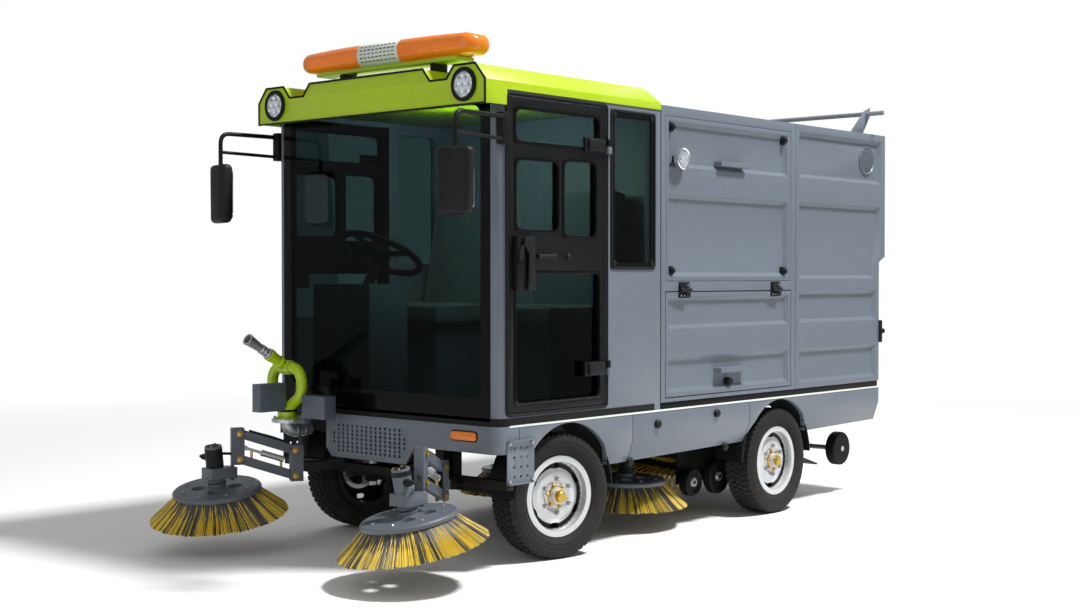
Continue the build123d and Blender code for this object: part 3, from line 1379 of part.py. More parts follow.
with BuildPart() as cushions:
    for seat_x in SEAT_X:
        x0 = seat_x - SEAT_W / 2
        x1 = seat_x + SEAT_W / 2
        slab(x0, x1, SEAT_FRONT, SEAT_REAR - BACK_T, SEAT_BASE_TOP, SEAT_BASE_TOP + CUSHION_T)
        back_low = SEAT_BASE_TOP + CUSHION_T * 0.3
        back_h = BACK_TOP - back_low
        hinge = (seat_x, y_at(SEAT_REAR - BACK_T / 2), back_low)
        with Locations(Location(hinge, (-BACK_LEAN, 0, 0))):
            Box(SEAT_W, BACK_T, back_h, align=MIN_ALIGN)
save(cushions, "seat_cushions")

# Steering console with its column and hand wheel
with BuildPart() as console:
    slab(
        CONSOLE_X - CONSOLE_W / 2, CONSOLE_X + CONSOLE_W / 2, CONSOLE_FRONT, CONSOLE_REAR,
        DECK_TOP, CONSOLE_TOP,
    )
    wheel_mid = Vector(CONSOLE_X, y_at(STEER_WHEEL_STATION), STEER_WHEEL_Z)
    lean = radians(STEER_WHEEL_LEAN)
    column = Vector(0, sin(lean), cos(lean))
    bar(wheel_mid - column * 200, wheel_mid, 26)
    with BuildSketch(section_plane(wheel_mid, column)):
        with Locations((STEER_WHEEL_R, 0)):
            Circle(STEER_WHEEL_TUBE)
    revolve(axis=Axis(wheel_mid, column))
    with Locations(Plane(origin=wheel_mid, x_dir=(1, 0, 0), z_dir=column)):
        Box(2 * STEER_WHEEL_R, 34, 14)
        with Locations((0, -STEER_WHEEL_R / 2, 0)):
            Box(34, STEER_WHEEL_R, 14)
        Cylinder(52, 30)
save(console, "steering_console")

with BuildPart() as battery:
    half_w, start, end, height = BATTERY
    slab(-half_w, half_w, start, end, BOX_LOW + WALL, BOX_LOW + WALL + height)
save(battery, "battery_pack")


def cannon_point(ahead, across, height):
    """Point of the cannon: ahead of its upright axis, across to its left, above the ground."""
    return Vector(CANNON_X + across, y_at(CANNON_STATION) - ahead, height)


HEAD_LOW = CANNON_FLANGE_Z + CANNON_FLANGE_T + FIT
HEAD_TOP = HEAD_LOW + CANNON_DRUM_H

# Cannon base: feed pipe from the front beam, flange, spigot and turning motor
with BuildPart() as cannon_base:
    foot = cannon_point(0, 0, CANNON_FLANGE_Z)
    with BuildLine() as feed:
        FilletPolyline(
            (foot.X, foot.Y, CANNON_FLANGE_Z + 1),
            (foot.X, foot.Y, CANNON_FEED_Z),
            (foot.X, y_at(BUMPER_T - BUMPER_OUT), CANNON_FEED_Z),
            radius=CANNON_FEED_BEND,
        )
    with BuildSketch(Plane(origin=feed.line @ 0, z_dir=feed.line % 0)):
        Circle(CANNON_FEED_R)
    sweep(path=feed.line)
    with Locations(foot):
        Cylinder(CANNON_FLANGE_R, CANNON_FLANGE_T, align=MIN_ALIGN)
        Cylinder(CANNON_SPIGOT_R, CANNON_FLANGE_T + CANNON_SPIGOT_H, align=MIN_ALIGN)
    x0, x1, front, rear, z0, z1 = TURN_BOX
    slab(x0, x1, front, rear, z0, z1)
    neck_len, neck_w, neck_h = TURN_NECK
    slab(
        x0 - neck_len, x0 + 1, CANNON_STATION - neck_w / 2, CANNON_STATION + neck_w / 2,
        CANNON_FLANGE_Z, CANNON_FLANGE_Z + CANNON_FLANGE_T,
    )
    slab(
        x0 - neck_w / 2, x0 + 1, CANNON_STATION - neck_w / 2, CANNON_STATION + neck_w / 2,
        CANNON_FLANGE_Z, CANNON_FLANGE_Z + neck_h,
    )
save(cannon_base, "cannon_base")

# Cannon head: drum, twin looped pipes up to the trunnions, and the gear box ahead of it
with BuildPart() as cannon_head:
    with Locations(cannon_point(0, 0, HEAD_LOW)):
        Cylinder(CANNON_DRUM_R, CANNON_DRUM_H, align=MIN_ALIGN)
    trunnion = CANNON_KNUCKLE_W / 2 + CHEEK_GAP
    for _, hand in SIDES:
        with BuildLine() as loop:
            FilletPolyline(
                cannon_point(0, 0, HEAD_TOP - CANNON_PIPE_R / 2),
                cannon_point(0, hand * CANNON_LOOP_OUT, HEAD_TOP + CANNON_LOOP_OUT * 0.6),
                cannon_point(0, hand * CANNON_LOOP_OUT, CANNON_TILT_Z),
                cannon_point(0, hand * trunnion, CANNON_TILT_Z),
                radius=CANNON_LOOP_BEND,
            )
        with BuildSketch(Plane(origin=loop.line @ 0, z_dir=loop.line % 0)):
            Circle(CANNON_PIPE_R)
        sweep(path=loop.line)
        bar(
            cannon_point(0, hand * (trunnion + 1), CANNON_TILT_Z),
            cannon_point(0, hand * (trunnion - CANNON_PIN_IN), CANNON_TILT_Z), CANNON_PIN_R,
        )
    near, far, half, height = CANNON_BOX
    box_y = y_at(CANNON_STATION)
    block(CANNON_X - half, CANNON_X + half, box_y - far, box_y - near, HEAD_TOP - 12, HEAD_TOP + height)
    with Locations(cannon_point(0, 0, HEAD_LOW - 1)):
        Cylinder(
            CANNON_SPIGOT_R + FIT, CANNON_SPIGOT_H + 1 + FIT, align=MIN_ALIGN, mode=Mode.SUBTRACT,
        )
save(cannon_head, "cannon_head")

# Cannon barrel: knuckle, body and bright nozzle tube
with BuildPart() as nozzle:
    pin = cannon_point(0, 0, CANNON_TILT_Z)
    rise = radians(CANNON_ELEVATION)
    aim = Vector(0, -cos(rise), sin(rise))
    side_step = Vector(CANNON_KNUCKLE_W / 2, 0, 0)
    bar(pin - side_step, pin + side_step, CANNON_KNUCKLE_R)
    bar(pin, pin + aim * CANNON_BODY_LEN, CANNON_BODY_R * 0.8)
    bar(pin + aim * CANNON_BODY_LEN * 0.4, pin + aim * CANNON_BODY_LEN, CANNON_BODY_R)
    tip = pin + aim * (CANNON_BODY_LEN + CANNON_TUBE_LEN)
    bar(pin + aim * CANNON_BODY_LEN, tip, CANNON_TUBE_R)
    bar(tip - aim * 24, tip, CANNON_TUBE_R + 5)
    bar(tip - aim * CANNON_TUBE_LEN * 0.8, tip + aim, CANNON_BORE_R, mode=Mode.SUBTRACT)
    bar(pin - side_step * 2, pin + side_step * 2, CANNON_PIN_R + FIT, mode=Mode.SUBTRACT)
save(nozzle, "cannon_nozzle")
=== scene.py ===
"""Dresses an electric road sweeper: paint, glass, tyres, bristles, seats, lamps and fittings."""
import json
import logging
import math
from collections.abc import Callable
from dataclasses import dataclass
from enum import Enum
from random import Random

import bpy
from mathutils import Matrix, Vector


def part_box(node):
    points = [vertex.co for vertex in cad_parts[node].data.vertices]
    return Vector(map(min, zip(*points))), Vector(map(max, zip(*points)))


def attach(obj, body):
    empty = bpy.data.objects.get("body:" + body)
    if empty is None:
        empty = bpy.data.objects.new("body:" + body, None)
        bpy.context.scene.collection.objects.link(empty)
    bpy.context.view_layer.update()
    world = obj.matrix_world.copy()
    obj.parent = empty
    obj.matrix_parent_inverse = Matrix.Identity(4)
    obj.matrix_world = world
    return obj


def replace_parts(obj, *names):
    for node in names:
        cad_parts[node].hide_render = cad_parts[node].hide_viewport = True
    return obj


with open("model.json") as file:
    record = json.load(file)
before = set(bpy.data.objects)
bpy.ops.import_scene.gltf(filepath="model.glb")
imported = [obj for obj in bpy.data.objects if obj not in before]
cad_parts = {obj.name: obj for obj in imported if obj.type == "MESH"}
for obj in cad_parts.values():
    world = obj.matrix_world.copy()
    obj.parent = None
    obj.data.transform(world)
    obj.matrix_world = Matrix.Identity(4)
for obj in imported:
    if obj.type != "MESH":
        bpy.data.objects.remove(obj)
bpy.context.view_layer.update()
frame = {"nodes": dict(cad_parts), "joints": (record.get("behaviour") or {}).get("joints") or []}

log = logging.getLogger("sweeper")

# The front faces -Y and +X is the vehicle's left; stations are metres behind the cab's front face.
CAB_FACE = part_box("cab_glass")[0].y
HALF_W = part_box("cab_glass")[1].x
SIDES = (("left", 1), ("right", -1))

Point = tuple[float, float, float]
Pair = tuple[float, float]
ORIGIN: Point = (0, 0, 0)
UP: Point = (0, 0, 1)
# Station of the box's rear face.
REAR_FACE = 3.262


def at(station: float) -> float:
    """Y of a station behind the cab's front face, in metres."""
    return CAB_FACE + station


def to_linear(colour: str) -> tuple[float, float, float, float]:
    """Turn an sRGB hex colour to linear.

    Args:
        colour: six hex digits after a hash sign.

    Returns:
        Linear red, green, blue and a full alpha.
    """
    parts = [int(colour[i:i + 2], 16) / 255 for i in (1, 3, 5)]
    linear = [c / 12.92 if c <= 0.04045 else ((c + 0.055) / 1.055) ** 2.4 for c in parts]
    return (*linear, 1.0)


class Pattern(Enum):
    """How the surface of a finish varies."""

    CLOUD = "soft clouds of paint or moulded plastic"
    BRUSHED = "fine lines along the length"
    WEAVE = "crossed threads"
    GRAIN = "moulded leather grain"


def add_node(tree: bpy.types.NodeTree, kind: str, settings: dict | None = None,
             links: dict | None = None) -> bpy.types.Node:
    """Add a shader node with its settings and its incoming links.

    Args:
        tree: node tree that gets the node.
        kind: node type name.
        settings: attribute or input values by name.
        links: output sockets by the input's name.

    Returns:
        The new node.
    """
    node = tree.nodes.new(kind)
    for key, value in (settings or {}).items():
        if isinstance(key, str) and hasattr(node, key):
            setattr(node, key, value)
        else:
            node.inputs[key].default_value = value
    for key, socket in (links or {}).items():
        tree.links.new(socket, node.inputs[key])
    return node


@dataclass(frozen=True)
class Finish:
    """A real material: its colours, gloss and the size of its pattern.

    Attributes:
        name: the material's common name and make.
        colour: main sRGB colour.
        shade: sRGB colour that the pattern moves towards.
        roughness: mean roughness.
        grain_mm: size of one step of the pattern.
        pattern: how the surface varies.
        bump: strength of the pattern's relief.
        metallic: share of bare metal.
        coat: strength of a clear coat.
        clear: share of light let through.
        sheen: strength of a cloth's sheen.
        dust: share of pale road dust low on the vehicle.
        glow: light the piece gives off.
        specular: strength of its surface reflection.
        ior: index of refraction.
    """

    name: str
    colour: str
    shade: str
    roughness: float
    grain_mm: float = 40.0
    pattern: Pattern = Pattern.CLOUD
    bump: float = 0.02
    metallic: float = 0.0
    coat: float = 0.0
    clear: float = 0.0
    sheen: float = 0.0
    dust: float = 0.0
    glow: float = 0.0
    specular: float = 0.5
    ior: float = 1.5

    def material(self) -> bpy.types.Material:
        """Return this finish as a material, made on first use."""
        made = bpy.data.materials.get(self.name)
        return made if made else self._build()

    def _build(self) -> bpy.types.Material:
        """Make the node tree on Object coordinates, where one unit is a metre."""
        made = bpy.data.materials.new(self.name)
        made.use_nodes = True
        tree = made.node_tree
        shader = tree.nodes["Principled BSDF"]
        place = add_node(tree, "ShaderNodeTexCoord").outputs["Object"]
        value = self._pattern(tree, place)
        blend = add_node(tree, "ShaderNodeMix", {"data_type": "RGBA", 6: to_linear(self.colour),
                                                 7: to_linear(self.shade)}, {0: value})
        colour = blend.outputs[2]
        if self.dust:
            colour = self._dusted(tree, place, colour)
        tree.links.new(colour, shader.inputs["Base Color"])
        rough = add_node(tree, "ShaderNodeMapRange",
                         {3: self.roughness * 0.85, 4: min(1.0, self.roughness * 1.2)}, {0: value})
        tree.links.new(rough.outputs[0], shader.inputs["Roughness"])
        if self.bump:
            relief = add_node(tree, "ShaderNodeBump",
                              {"Strength": self.bump, "Distance": self.grain_mm / 4000}, {"Height": value})
            tree.links.new(relief.outputs[0], shader.inputs["Normal"])
        shader.inputs["Metallic"].default_value = self.metallic
        shader.inputs["Coat Weight"].default_value = self.coat
        shader.inputs["Coat Roughness"].default_value = 0.12
        shader.inputs["Transmission Weight"].default_value = self.clear
        shader.inputs["Sheen Weight"].default_value = self.sheen
        shader.inputs["Specular IOR Level"].default_value = self.specular
        shader.inputs["IOR"].default_value = self.ior
        if self.glow:
            shader.inputs["Emission Color"].default_value = to_linear(self.colour)
            shader.inputs["Emission Strength"].default_value = self.glow
        return made

    def _pattern(self, tree: bpy.types.NodeTree, place: bpy.types.NodeSocket) -> bpy.types.NodeSocket:
        """Follow the finish's pattern.

        Args:
            tree: node tree of the material.
            place: Object coordinates.

        Returns:
            Socket with a value from 0 to 1.
        """
        scale = 1000.0 / self.grain_mm
        if self.pattern is Pattern.WEAVE:
            warp = add_node(tree, "ShaderNodeTexWave", {"bands_direction": "DIAGONAL", "Scale": scale / 3,
                                                        "Distortion": 0.6}, {"Vector": place})
            weft = add_node(tree, "ShaderNodeTexWave", {"bands_direction": "Z", "Scale": scale / 3,
                                                        "Distortion": 0.6}, {"Vector": place})
            cross = add_node(tree, "ShaderNodeMath", {"operation": "MULTIPLY"},
                             {0: warp.outputs["Fac"], 1: weft.outputs["Fac"]})
            return cross.outputs[0]
        if self.pattern is Pattern.GRAIN:
            cells = add_node(tree, "ShaderNodeTexVoronoi", {"Scale": scale}, {"Vector": place})
            return cells.outputs["Distance"]
        if self.pattern is Pattern.BRUSHED:
            stretch = add_node(tree, "ShaderNodeMapping", {"Scale": (1.0, 1.0, 12.0)}, {"Vector": place})
            place = stretch.outputs[0]
        noise = add_node(tree, "ShaderNodeTexNoise", {"Scale": scale, "Detail": 6.0, "Roughness": 0.6},
                         {"Vector": place})
        return noise.outputs["Fac"]

    def _dusted(self, tree: bpy.types.NodeTree, place: bpy.types.NodeSocket,
                colour: bpy.types.NodeSocket) -> bpy.types.NodeSocket:
        """Add road dust that thickens towards the ground.

        Args:
            tree: node tree of the material.
            place: Object coordinates.
            colour: the clean colour.

        Returns:
            Socket with the dusted colour.
        """
        height = add_node(tree, "ShaderNodeSeparateXYZ", links={0: place}).outputs[2]
        low = add_node(tree, "ShaderNodeMapRange", {1: 0.0, 2: 0.75, 3: self.dust, 4: 0.0}, {0: height})
        specks = add_node(tree, "ShaderNodeTexNoise", {"Scale": 26.0, "Detail": 8.0, "Roughness": 0.7},
                          {"Vector": place})
        share = add_node(tree, "ShaderNodeMath", {"operation": "MULTIPLY"},
                         {0: low.outputs[0], 1: specks.outputs["Fac"]})
        dusty = add_node(tree, "ShaderNodeMix", {"data_type": "RGBA", 7: to_linear("#8C857A")},
                         {0: share.outputs[0], 6: colour})
        return dusty.outputs[2]


# Satin two-coat body enamel: even, with a faint orange peel and a soft highlight.
BODY = Finish("body_enamel_blue_grey", "#5F6872", "#67707A", 0.42, 30, bump=0.015, coat=0.1, dust=0.25)
# The same enamel on welded arms, a little flatter; painted shade makes its colour a little darker than the
# body's.
SHADED_ARM = Finish("arm_enamel_blue_grey_painted_shade", "#4C555F", "#56606B", 0.45, 26, bump=0.04, coat=0.08, dust=0.3)
# Gloss lime enamel on glass-fibre mouldings: bright and smooth.
LIME = Finish("lime_enamel", "#A6C404", "#B0CE12", 0.3, 60, bump=0.01, coat=0.4)
# Satin black enamel on steel frames and doors.
BLACK = Finish("black_enamel", "#050607", "#0A0B0C", 0.45, 22, bump=0.03, dust=0.06, specular=0.22)
# Black ceramic edge fired on the glass: smooth and glossy.
FRIT = Finish("black_glass_edge", "#030404", "#060707", 0.12, 80, bump=0.0, specular=0.2)
# Extruded rubber trim: dull black with a fine bloom.
RUBBER = Finish("extruded_rubber", "#0C0D0E", "#131416", 0.66, 8, bump=0.08, specular=0.25)
# Cured tyre rubber: charcoal with a grey bloom and dust in its low places.
TYRE = Finish("tyre_rubber", "#111112", "#1A1A1C", 0.8, 10, bump=0.18, dust=0.14, specular=0.25)
# Tinted safety glass: clear, with a dark green-blue tint.
GLASS = Finish("tinted_glass", "#4A5C5C", "#506262", 0.02, 300, bump=0.0, clear=1.0, ior=1.16)
# Clear lamp lens of polycarbonate.
LENS = Finish("clear_polycarbonate", "#F2F5F6", "#E6ECEF", 0.05, 60, bump=0.01, clear=0.92)
# Amber moulded acrylic, clear enough for light to soften its edges.
AMBER = Finish("amber_acrylic", "#F07A10", "#FF9326", 0.16, 14, bump=0.05, coat=0.4, clear=0.25, glow=0.06)
# Red moulded acrylic of the tail lamps.
RED = Finish("red_acrylic", "#A80E12", "#C41B1E", 0.16, 14, bump=0.05, coat=0.4, clear=0.2)
# White moulded plastic of the beacon's middle.
WHITE = Finish("white_abs", "#E4EAE2", "#D6DDD6", 0.4, 20, bump=0.03)
# Polished wheel steel under clear lacquer.
WHEEL = Finish("lacquered_wheel_steel", "#C4C6C8", "#D2D4D6", 0.34, 18, bump=0.03, metallic=0.35, coat=0.3)
# Drawn bright steel of tubes and rods, with lines along its length.
STEEL = Finish("drawn_steel", "#BFC1C3", "#D3D5D7", 0.34, 5, Pattern.BRUSHED, 0.06, metallic=0.8)
# Mirror-bright lamp bowl.
CHROME = Finish("lamp_chrome", "#D9DCDE", "#E6E8EA", 0.08, 60, bump=0.0, metallic=1.0)
# Cast brass hubs and passivated bolts: yellow, slightly dull.
BRASS = Finish("passivated_brass", "#B8923F", "#D0AE58", 0.3, 7, bump=0.1, metallic=0.9)
# Zinc plated screws and nuts.
ZINC = Finish("zinc_plate", "#9FA3A6", "#B4B8BA", 0.34, 6, bump=0.08, metallic=0.9)
# Moulded black fittings with a fine spark-eroded texture.
PLASTIC = Finish("grained_black_abs", "#0B0C0E", "#15171A", 0.52, 3, Pattern.GRAIN, 0.12, specular=0.25)
# Grey cabin panels, moulded and grained.
CABIN = Finish("grained_cabin_grey", "#4A5861", "#55646D", 0.55, 4, Pattern.GRAIN, 0.1)
# Woven seat cloth.
CLOTH = Finish("woven_seat_cloth", "#3C4A52", "#56666F", 0.86, 4, Pattern.WEAVE, 0.25, sheen=0.35)
# Polypropylene bristles, yellow, with dark ones among them.
YELLOW = Finish("yellow_polypropylene", "#D8B414", "#E9CC34", 0.5, 6, bump=0.05, dust=0.2)
DARK = Finish("dark_polypropylene", "#2A2A2D", "#3F3F44", 0.5, 6, bump=0.05, dust=0.2)
# Ribbed hose and conduit.
HOSE = Finish("nitrile_hose", "#0F1011", "#191A1C", 0.58, 6, bump=0.1, specular=0.25)
# Silvered looking-glass.
MIRROR = Finish("silvered_glass", "#E4E8EA", "#DDE2E5", 0.03, 200, bump=0.0, metallic=1.0)
# Swept studio floor, pale and matt.
FLOOR = Finish("pale_studio_floor", "#F4F4F3", "#F1F1F0", 0.85, 300, bump=0.0)


def clear_selection() -> None:
    """Leave edit mode and deselect everything."""
    if bpy.context.mode != "OBJECT":
        bpy.ops.object.mode_set(mode="OBJECT")
    bpy.ops.object.select_all(action="DESELECT")


def pick(piece: bpy.types.Object) -> None:
    """Select one object alone and make it active."""
    clear_selection()
    piece.select_set(True)
    bpy.context.view_layer.objects.active = piece


def settle(piece: bpy.types.Object, angle: float = 35.0) -> bpy.types.Object:
    """Apply a piece's place to its mesh and smooth its shallow edges.

    Args:
        piece: the piece.
        angle: edges flatter than this many degrees are smooth.

    Returns:
        The piece.
    """
    pick(piece)
    bpy.ops.object.transform_apply(location=True, rotation=True, scale=True)
    bpy.ops.object.shade_smooth_by_angle(angle=math.radians(angle))
    return piece


def apply_bevel(piece: bpy.types.Object, width: float, segments: int = 2, angle: float = 40.0) -> None:
    """Round a piece's sharp edges with an applied Bevel modifier.

    Args:
        piece: the piece.
        width: width of each rounded edge.
        segments: steps in each rounded edge.
        angle: edges sharper than this many degrees are rounded.
    """
    pick(piece)
    bevel = piece.modifiers.new("edge", "BEVEL")
    bevel.width = width
    bevel.segments = segments
    bevel.limit_method = "ANGLE"
    bevel.angle_limit = math.radians(angle)
    bpy.ops.object.modifier_apply(modifier=bevel.name)


def heading(centre: Point, axis: Point, across: Point | None = None) -> Matrix:
    """Matrix that stands local Z along an axis at a centre.

    Args:
        centre: where the local origin goes.
        axis: direction of local Z.
        across: optional direction near local X.

    Returns:
        The placing matrix.
    """
    z_dir = Vector(axis).normalized()
    guide = Vector(across) if across else Vector((0, 0, 1) if abs(z_dir.z) < 0.9 else (1, 0, 0))
    x_dir = (guide - z_dir * guide.dot(z_dir)).normalized()
    y_dir = z_dir.cross(x_dir)
    turn = Matrix((x_dir, y_dir, z_dir)).transposed().to_4x4()
    return Matrix.Translation(Vector(centre)) @ turn


def joint_where(key: str, value: str) -> dict:
    """Return the first joint whose entry has this value."""
    return next(joint for joint in frame["joints"] if joint[key] == value)


def round_axis(count: int, start: float = 0.0) -> list[Matrix]:
    """Return turns about local Z that share a circle, from a first angle in radians."""
    return [Matrix.Rotation(start + turn * math.tau / count, 4, "Z") for turn in range(count)]


def block(name: str, low: Point, high: Point, bevel: float = 0.003, segments: int = 2) -> bpy.types.Object:
    """Bevelled block between two corners.

    Args:
        name: piece name.
        low: one corner.
        high: the opposite corner.
        bevel: width of its rounded edges.
        segments: steps in each rounded edge.

    Returns:
        The finished piece.
    """
    clear_selection()
    ends = [(min(a, b), max(a, b)) for a, b in zip(low, high)]
    middle = [(a + b) / 2 for a, b in ends]
    bpy.ops.mesh.primitive_cube_add(size=1, location=middle, scale=[b - a for a, b in ends])
    piece = bpy.context.active_object
    piece.name = name
    bpy.ops.object.transform_apply(location=True, rotation=True, scale=True)
    apply_bevel(piece, bevel, segments)
    return settle(piece)


def turned(name: str, profile: list[Pair], centre: Point, axis: Point, sides: int = 32) -> bpy.types.Object:
    """Piece turned from a profile, closed at both ends.

    Args:
        name: piece name.
        profile: radius and height pairs from one end to the other.
        centre: place of height zero.
        axis: direction of rising height.
        sides: number of facets round it.

    Returns:
        The finished piece.
    """
    clear_selection()
    radius, height = profile[0]
    bpy.ops.mesh.primitive_circle_add(vertices=sides, radius=radius, location=(0, 0, height),
                                      fill_type="NGON")
    piece = bpy.context.active_object
    piece.name = name
    bpy.ops.object.transform_apply(location=True, rotation=True, scale=True)
    bpy.ops.object.mode_set(mode="EDIT")
    bpy.ops.mesh.select_all(action="SELECT")
    for next_radius, next_height in profile[1:]:
        bpy.ops.mesh.extrude_region_move(TRANSFORM_OT_translate={"value": (0, 0, next_height - height)})
        ratio = next_radius / radius
        bpy.ops.transform.resize(value=(ratio, ratio, 1), center_override=(0, 0, next_height))
        radius, height = next_radius, next_height
    bpy.ops.mesh.select_all(action="SELECT")
    bpy.ops.mesh.normals_make_consistent(inside=False)
    bpy.ops.object.mode_set(mode="OBJECT")
    piece.matrix_world = heading(centre, axis)
    return settle(piece)


def drawn(name: str, outline: list[Pair], sections: list[Pair], place: Matrix) -> bpy.types.Object:
    """Solid drawn along local Z from an outline that is scaled at each section.

    Args:
        name: piece name.
        outline: corners of the full-size section.
        sections: scale and height pairs from one end to the other.
        place: matrix from the drawing's own axes to the vehicle.

    Returns:
        The finished piece.
    """
    clear_selection()
    scale, height = sections[0]
    bpy.ops.mesh.primitive_circle_add(vertices=len(outline), radius=1.0, fill_type="NGON")
    piece = bpy.context.active_object
    piece.name = name
    for vertex, (across, up) in zip(piece.data.vertices, outline):
        vertex.co = (across * scale, up * scale, height)
    bpy.ops.object.mode_set(mode="EDIT")
    bpy.ops.mesh.select_all(action="SELECT")
    for next_scale, next_height in sections[1:]:
        bpy.ops.mesh.extrude_region_move(TRANSFORM_OT_translate={"value": (0, 0, next_height - height)})
        ratio = next_scale / scale
        bpy.ops.transform.resize(value=(ratio, ratio, 1), center_override=(0, 0, next_height))
        scale, height = next_scale, next_height
    bpy.ops.mesh.select_all(action="SELECT")
    bpy.ops.mesh.normals_make_consistent(inside=False)
    bpy.ops.object.mode_set(mode="OBJECT")
    piece.matrix_world = place
    return settle(piece)


def ring(name: str, profile: list[Pair], centre: Point, axis: Point, sides: int = 48) -> bpy.types.Object:
    """Closed ring spun from a profile of radius and height pairs.

    Args:
        name: piece name.
        profile: radius and height pairs round the section, not repeated at the end.
        centre: place of height zero.
        axis: direction of rising height.
        sides: number of facets round it.

    Returns:
        The finished piece.
    """
    clear_selection()
    bpy.ops.mesh.primitive_circle_add(vertices=len(profile), radius=1.0, fill_type="NOTHING")
    piece = bpy.context.active_object
    piece.name = name
    for vertex, (radius, height) in zip(piece.data.vertices, profile):
        vertex.co = (radius, 0, height)
    bpy.ops.object.mode_set(mode="EDIT")
    bpy.ops.mesh.select_all(action="SELECT")
    bpy.ops.mesh.spin(steps=sides, angle=math.tau, center=(0, 0, 0), axis=(0, 0, 1))
    bpy.ops.mesh.select_all(action="SELECT")
    bpy.ops.mesh.remove_doubles(threshold=1e-5)
    bpy.ops.mesh.normals_make_consistent(inside=False)
    bpy.ops.object.mode_set(mode="OBJECT")
    piece.matrix_world = heading(centre, axis)
    return settle(piece)


def plate(name: str, outline: list[Pair], thick: float, place: Matrix,
          bevel: float = 0.0) -> bpy.types.Object:
    """Plate of any outline, raised along local Z.

    Args:
        name: piece name.
        outline: corners in the plate's own plane.
        thick: how far it is raised.
        place: matrix from the plate's plane to the vehicle.
        bevel: width of its rounded edges.

    Returns:
        The finished piece.
    """
    clear_selection()
    bpy.ops.mesh.primitive_circle_add(vertices=len(outline), radius=1.0, fill_type="NGON")
    piece = bpy.context.active_object
    piece.name = name
    for vertex, (across, up) in zip(piece.data.vertices, outline):
        vertex.co = (across, up, 0)
    bpy.ops.object.mode_set(mode="EDIT")
    bpy.ops.mesh.select_all(action="SELECT")
    bpy.ops.mesh.extrude_region_move(TRANSFORM_OT_translate={"value": (0, 0, thick)})
    bpy.ops.mesh.select_all(action="SELECT")
    bpy.ops.mesh.normals_make_consistent(inside=False)
    bpy.ops.object.mode_set(mode="OBJECT")
    if bevel:
        apply_bevel(piece, bevel)
    piece.matrix_world = place
    return settle(piece)


def border(name: str, outer: list[Pair], inner: list[Pair], thick: float, place: Matrix,
           bevel: float = 0.0) -> bpy.types.Object:
    """Flat frame between two outlines with the same number of corners.

    Args:
        name: piece name.
        outer: corners of the outer edge.
        inner: corners of the inner edge.
        thick: how far the frame is raised along local Z.
        place: matrix from the frame's plane to the vehicle.
        bevel: width of its rounded edges.

    Returns:
        The finished piece.
    """
    clear_selection()
    bpy.ops.mesh.primitive_circle_add(vertices=len(outer), radius=1.0, fill_type="NOTHING")
    piece = bpy.context.active_object
    piece.name = name
    bpy.ops.object.mode_set(mode="EDIT")
    bpy.ops.mesh.primitive_circle_add(vertices=len(inner), radius=0.5, fill_type="NOTHING")
    bpy.ops.object.mode_set(mode="OBJECT")
    for vertex, (across, up) in zip(piece.data.vertices, outer + inner):
        vertex.co = (across, up, 0)
    bpy.ops.object.mode_set(mode="EDIT")
    bpy.ops.mesh.select_all(action="SELECT")
    bpy.ops.mesh.bridge_edge_loops()
    bpy.ops.mesh.select_all(action="SELECT")
    bpy.ops.mesh.extrude_region_move(TRANSFORM_OT_translate={"value": (0, 0, thick)})
    bpy.ops.mesh.select_all(action="SELECT")
    bpy.ops.mesh.normals_make_consistent(inside=False)
    bpy.ops.object.mode_set(mode="OBJECT")
    if bevel:
        apply_bevel(piece, bevel)
    piece.matrix_world = place
    return settle(piece)


def rounded(low: Pair, high: Pair, radius: float, steps: int = 5) -> list[Pair]:
    """Outline of a rectangle with round corners.

    Args:
        low: lowest corner.
        high: highest corner.
        radius: corner radius.
        steps: points in each corner.

    Returns:
        Points round the outline.
    """
    corners = ((high[0] - radius, high[1] - radius, 0), (low[0] + radius, high[1] - radius, 90),
               (low[0] + radius, low[1] + radius, 180), (high[0] - radius, low[1] + radius, 270))
    points = []
    for across, up, start in corners:
        for step in range(steps):
            turn = math.radians(start + 90 * step / (steps - 1))
            points.append((across + radius * math.cos(turn), up + radius * math.sin(turn)))
    return points


def tube(name: str, points: list[Point], radius: float, closed: bool = False, smooth: bool = False,
         detail: int = 3) -> bpy.types.Object:
    """Round tube along a line of points.

    Args:
        name: piece name.
        points: the line's points.
        radius: tube radius.
        closed: join the last point to the first.
        smooth: draw a smooth curve through the control points.
        detail: roundness of its section.

    Returns:
        The finished piece.
    """
    clear_selection()
    curve = bpy.data.curves.new(name, "CURVE")
    curve.dimensions = "3D"
    curve.bevel_depth = radius
    curve.bevel_resolution = detail
    curve.use_fill_caps = True
    spline = curve.splines.new("NURBS" if smooth else "POLY")
    spline.points.add(len(points) - 1)
    for target, point in zip(spline.points, points):
        target.co = (*point, 1.0)
    spline.use_cyclic_u = closed
    if smooth:
        spline.order_u = 3
        spline.use_endpoint_u = not closed
        spline.resolution_u = 6
    piece = bpy.data.objects.new(name, curve)
    bpy.context.scene.collection.objects.link(piece)
    pick(piece)
    bpy.ops.object.convert(target="MESH")
    return settle(bpy.context.active_object, 50)


def bent(points: list[Point], radius: float, steps: int = 6) -> list[Point]:
    """Points of a bar bent round its inner corners.

    Args:
        points: corner points of the bar.
        radius: distance from each corner where its bend starts.
        steps: points in each bend.

    Returns:
        The line with its corners rounded.
    """
    line = [Vector(points[0])]
    for before, corner, after in zip(points, points[1:], points[2:]):
        corner = Vector(corner)
        start = corner + (Vector(before) - corner).normalized() * radius
        end = corner + (Vector(after) - corner).normalized() * radius
        for step in range(steps + 1):
            share = step / steps
            line.append(start * (1 - share) ** 2 + corner * 2 * share * (1 - share) + end * share ** 2)
    line.append(Vector(points[-1]))
    return [tuple(point) for point in line]


